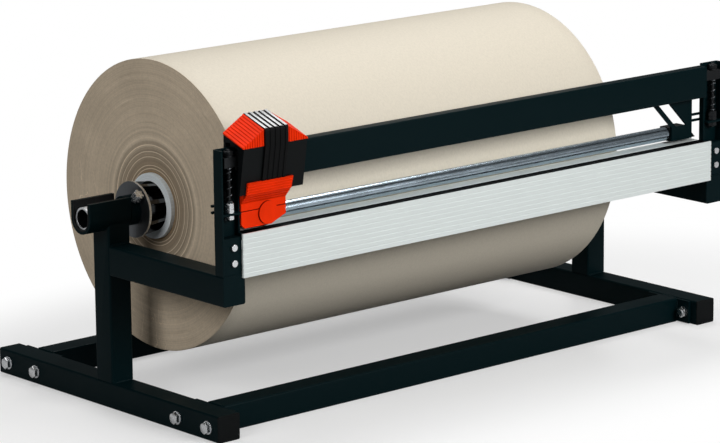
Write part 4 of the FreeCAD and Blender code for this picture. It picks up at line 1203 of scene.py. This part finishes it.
@dataclass
class Carriage(Assembly):
    """Knife carriage: housing, grip, holder, blade and button."""

    title: str = "carriage"
    wire: float = 0.6 * MM
    wire_sides: int = 10
    turn_steps: int = 64
    turns: int = 3
    narrow_radius: float = 7.7 * MM
    button_travel: float = 1.4 * MM

    def build(self) -> None:
        """All pieces of the carriage."""
        self.soften("carriage_housing", MATT_BLACK, Slot.BLACK, Edge.SOFT)
        self.soften("glide_pads", NYLON, Slot.LINER, Edge.SHARP)
        for side in ("left", "right"):
            wing = self.soften("grip_wing_" + side, ORANGE, Slot.ORANGE, Edge.SHARP)
            # The groove floors get a darker orange as painted shade.
            self.accent(wing, GROOVE_SHADE_ORANGE, self.grooves)
        band = self.soften("grip_band", RIB_BLACK, Slot.GLOSS, Edge.FINE)
        self.accent(band, GLOSS_BLACK, self.rib_tops)
        holder = self.soften("knife_holder", ORANGE, Slot.ORANGE, Edge.FINE)
        # The seam chamfers of holder and cover get a very dark orange as painted shade.
        self.accent(holder, GAP_SHADE_ORANGE, self.seam)
        cover = self.soften("blade_cover", ORANGE, Slot.ORANGE, Edge.SOFT)
        self.accent(cover, GAP_SHADE_ORANGE, self.seam)
        self.soften("holder_screws", ZINC, Slot.ZINC, Edge.SHARP)
        button = self.soften("release_button", ORANGE, Slot.ORANGE, Edge.FINE)
        # The button's side faces get a very dark orange as painted shade.
        self.accent(button, GAP_SHADE_ORANGE, lambda at, facing: np.abs(facing[:, 1]) < 0.5)
        self.soften("blade", BLADE_STEEL, Slot.BLADE, Edge.SHARP, 60.0)
        self.plain("blade_axle", SHAFT_STEEL)
        self.button_spring()

    @staticmethod
    def seam(at: np.ndarray, facing: np.ndarray) -> np.ndarray:
        """Chamfers along the seam between the holder's two halves, which get painted shade.

        Formula: small faces that look forward and up or down at the seam's height.

        Args:
            at: centres of the faces.
            facing: their normals.

        Returns:
            The mask.
        """
        _, high = corners("blade_cover")
        sloping = (facing[:, 1] < -0.5) & (np.abs(facing[:, 2]) > 0.5)
        return sloping & (np.abs(at[:, 2] - high[2]) < MM)

    @staticmethod
    def grooves(at: np.ndarray, facing: np.ndarray) -> np.ndarray:
        """Floors of the grooves between ribs.

        Formula: a floor faces the same way as a rib's top, and lies 0.4 to 1.5 mm behind the
        outermost face that faces this way.

        Args:
            at: centres of the faces.
            facing: their normals.

        Returns:
            The mask.
        """
        _, group = np.unique(np.round(facing * 40).astype(int), axis=0, return_inverse=True)
        group = group.reshape(-1)
        height = (at * facing).sum(1)
        highest = np.full(group.max() + 1, -np.inf)
        np.maximum.at(highest, group, height)
        behind = highest[group] - height
        return (behind > 0.4 * MM) & (behind < 1.5 * MM)

    def rib_tops(self, at: np.ndarray, facing: np.ndarray) -> np.ndarray:
        """Tops of the ribs on the band's upper side, which hands keep polished.

        Args:
            at: centres of the faces.
            facing: their normals.

        Returns:
            The mask.
        """
        return (facing[:, 2] > 0.5) & ~self.grooves(at, facing)

    def button_spring(self) -> None:
        """Conical spring behind the button.

        Formula: the middle of the wire is at (r(a) cos a, h(a), r(a) sin a). r falls evenly from
        the wide front turn to the narrow back one while h climbs evenly.
        """
        low, high = corners("button_spring")
        middle = (low + high) / 2
        wide = (high[2] - low[2] - self.wire) / 2
        angle = np.linspace(0, self.turns * TURN, self.turns * self.turn_steps + 1)
        share = angle / angle[-1]
        radius = self.narrow_radius + (wide - self.narrow_radius) * (1 - share)
        out = np.stack([np.cos(angle), 0 * angle, np.sin(angle)], -1)
        depth = low[1] + self.wire / 2 + share * (high[1] - low[1] - self.wire)
        path = middle * (1, 0, 1) + radius[:, None] * out
        path[:, 1] += depth
        grid = coiled_wire(path, out, self.wire, self.wire_sides)
        piece = grid_object("look_button_spring", [grid], sharp=50.0)
        self.take(piece, ("button_spring",), Body.CARRIAGE, SPRING_WIRE, Slot.SPRING)
        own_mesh(piece)


@dataclass(frozen=True)
class Softbox:
    """Rectangular soft light: its name, place, width and height, and power in watts."""

    name: str
    place: Triple
    size: tuple[float, float]
    watts: float


@dataclass
class Studio:
    """Camera of the photo, pale floor and soft light."""

    place: Triple = (-3.47701, -3.98421, 1.40347)
    yaw: float = 41.017186841
    pitch: float = 12.718990410
    roll: float = -0.574912957
    lens: float = 171.311
    sensor: float = 36.0
    floor_reach: float = 25.0
    floor_points: int = 11
    floor_seen: float = 0.8
    floor_mirrored: float = 0.45
    floor_lit: float = 0.12
    white_from: float = 0.7
    white_at: float = 1.15
    glow_near: float = 0.35
    target: Triple = (0.0, 0.0, 0.25)
    surroundings: float = 0.11
    softboxes: tuple[Softbox, ...] = (
        Softbox("top_softbox", (0.3, 0.5, 2.6), (2.2, 1.6), 34.0),
        Softbox("front_softbox", (0.4, -2.8, 1.45), (2.0, 1.0), 66.0),
        Softbox("side_softbox", (-2.8, -0.6, 1.5), (1.4, 1.0), 26.0),
        Softbox("glint_softbox", (1.5, 1.0, 2.4), (0.5, 0.5), 9.0),
    )

    def build(self) -> None:
        """Everything that isn't the object."""
        self.camera()
        self.floor()
        for softbox in self.softboxes:
            self.light(softbox)
        self.world()
        bpy.context.scene.view_settings.view_transform = "Standard"

    def camera(self) -> None:
        """Camera solved from the photo.

        Formula: forward from yaw and pitch, right in the floor's plane, both turned by the roll.
        """
        yaw, pitch, roll = (math.radians(v) for v in (self.yaw, self.pitch, self.roll))
        level = math.cos(pitch)
        ahead = Vector((math.sin(yaw) * level, math.cos(yaw) * level, -math.sin(pitch)))
        right = Vector((math.cos(yaw), -math.sin(yaw), 0))
        up = right.cross(ahead)
        across = math.cos(roll) * right + math.sin(roll) * up
        over = -math.sin(roll) * right + math.cos(roll) * up
        data = bpy.data.cameras.new("photo_camera")
        data.lens = self.lens
        data.sensor_width = self.sensor
        data.clip_end = 60.0
        data.dof.use_dof = False
        camera = bpy.data.objects.new("photo_camera", data)
        bpy.context.scene.collection.objects.link(camera)
        turn = Matrix((across, over, -ahead)).transposed().to_4x4()
        camera.matrix_world = Matrix.Translation(self.place) @ turn
        bpy.context.scene.camera = camera

    def floor(self) -> None:
        """Pale floor. Away from the object it is plain white to the camera."""
        rows = np.linspace(-self.floor_reach, self.floor_reach, self.floor_points)
        x, y = np.meshgrid(rows, rows, indexing="ij")
        points = np.stack([x, y, 0 * x], -1).reshape(-1, 3)
        quads = grid_quads(self.floor_points, self.floor_points, False, False)
        mesh = bpy.data.meshes.new("studio_floor")
        mesh.from_pydata(points.tolist(), [], quads.tolist())
        floor = place_mesh("studio_floor", mesh)
        shader = Shader("studio_white")
        path = shader.node("ShaderNodeLightPath").outputs
        seen = path["Is Camera Ray"]
        glossy = path["Is Glossy Ray"]
        lit = shader.math("MULTIPLY_ADD", glossy, self.floor_mirrored, self.floor_lit)
        grey = shader.math("MULTIPLY_ADD", seen, self.floor_seen, lit)
        shader.set(Base_Color=grey, Roughness=0.9, Specular_IOR_Level=0.0)
        oval = shader.node(
            "ShaderNodeVectorMath", {0: shader.stretched((1.0, 1.6, 1.0))}, operation="LENGTH",
        )
        far = shader.share(oval.outputs["Value"], self.white_from, self.white_at, "SMOOTHSTEP")
        lift = shader.between(far, self.glow_near, 1.0)
        glow = shader.node("ShaderNodeEmission", {"Color": (1.0, 1.0, 1.0), "Strength": 1.0})
        inputs = {
            0: shader.math("MULTIPLY", seen, lift),
            1: shader.surface.outputs[0],
            2: glow.outputs[0],
        }
        mixed = shader.node("ShaderNodeMixShader", inputs)
        output = next(n for n in shader.tree.nodes if n.type == "OUTPUT_MATERIAL")
        shader.tree.links.new(mixed.outputs[0], output.inputs["Surface"])
        mesh.materials.append(shader.material)

    def light(self, softbox: Softbox) -> None:
        """Soft light that looks at the machine.

        Args:
            softbox: the light to set up.
        """
        data = bpy.data.lights.new(softbox.name, "AREA")
        data.shape = "RECTANGLE"
        data.size, data.size_y = softbox.size
        data.energy = softbox.watts
        lamp = bpy.data.objects.new(softbox.name, data)
        bpy.context.scene.collection.objects.link(lamp)
        lamp.location = softbox.place
        toward = Vector(self.target) - Vector(softbox.place)
        lamp.rotation_euler = toward.to_track_quat("-Z", "Y").to_euler()

    def world(self) -> None:
        """Even dim surroundings that the camera sees as white."""
        world = bpy.data.worlds.new("studio_world")
        world.use_nodes = True
        tree = world.node_tree
        tree.nodes.clear()
        path = tree.nodes.new("ShaderNodeLightPath")
        dim = tree.nodes.new("ShaderNodeBackground")
        white = tree.nodes.new("ShaderNodeBackground")
        for background in (dim, white):
            background.inputs["Color"].default_value = (1.0, 1.0, 1.0, 1.0)
        dim.inputs["Strength"].default_value = self.surroundings
        mix = tree.nodes.new("ShaderNodeMixShader")
        output = tree.nodes.new("ShaderNodeOutputWorld")
        tree.links.new(path.outputs["Is Camera Ray"], mix.inputs[0])
        tree.links.new(dim.outputs[0], mix.inputs[1])
        tree.links.new(white.outputs[0], mix.inputs[2])
        tree.links.new(mix.outputs[0], output.inputs["Surface"])
        bpy.context.scene.world = world


def main() -> None:
    """Builds every sub-assembly, then the studio."""
    logging.basicConfig(level=logging.INFO, format="%(message)s")
    for assembly in (StandFrame(), Spindle(), Bed(), BeamUnit(), SpringGuides(), Carriage()):
        assembly.build()
        LOG.info("%s: %d pieces", assembly.title, len(assembly.made))
    Studio().build()


if __name__ == "__main__":
    main()
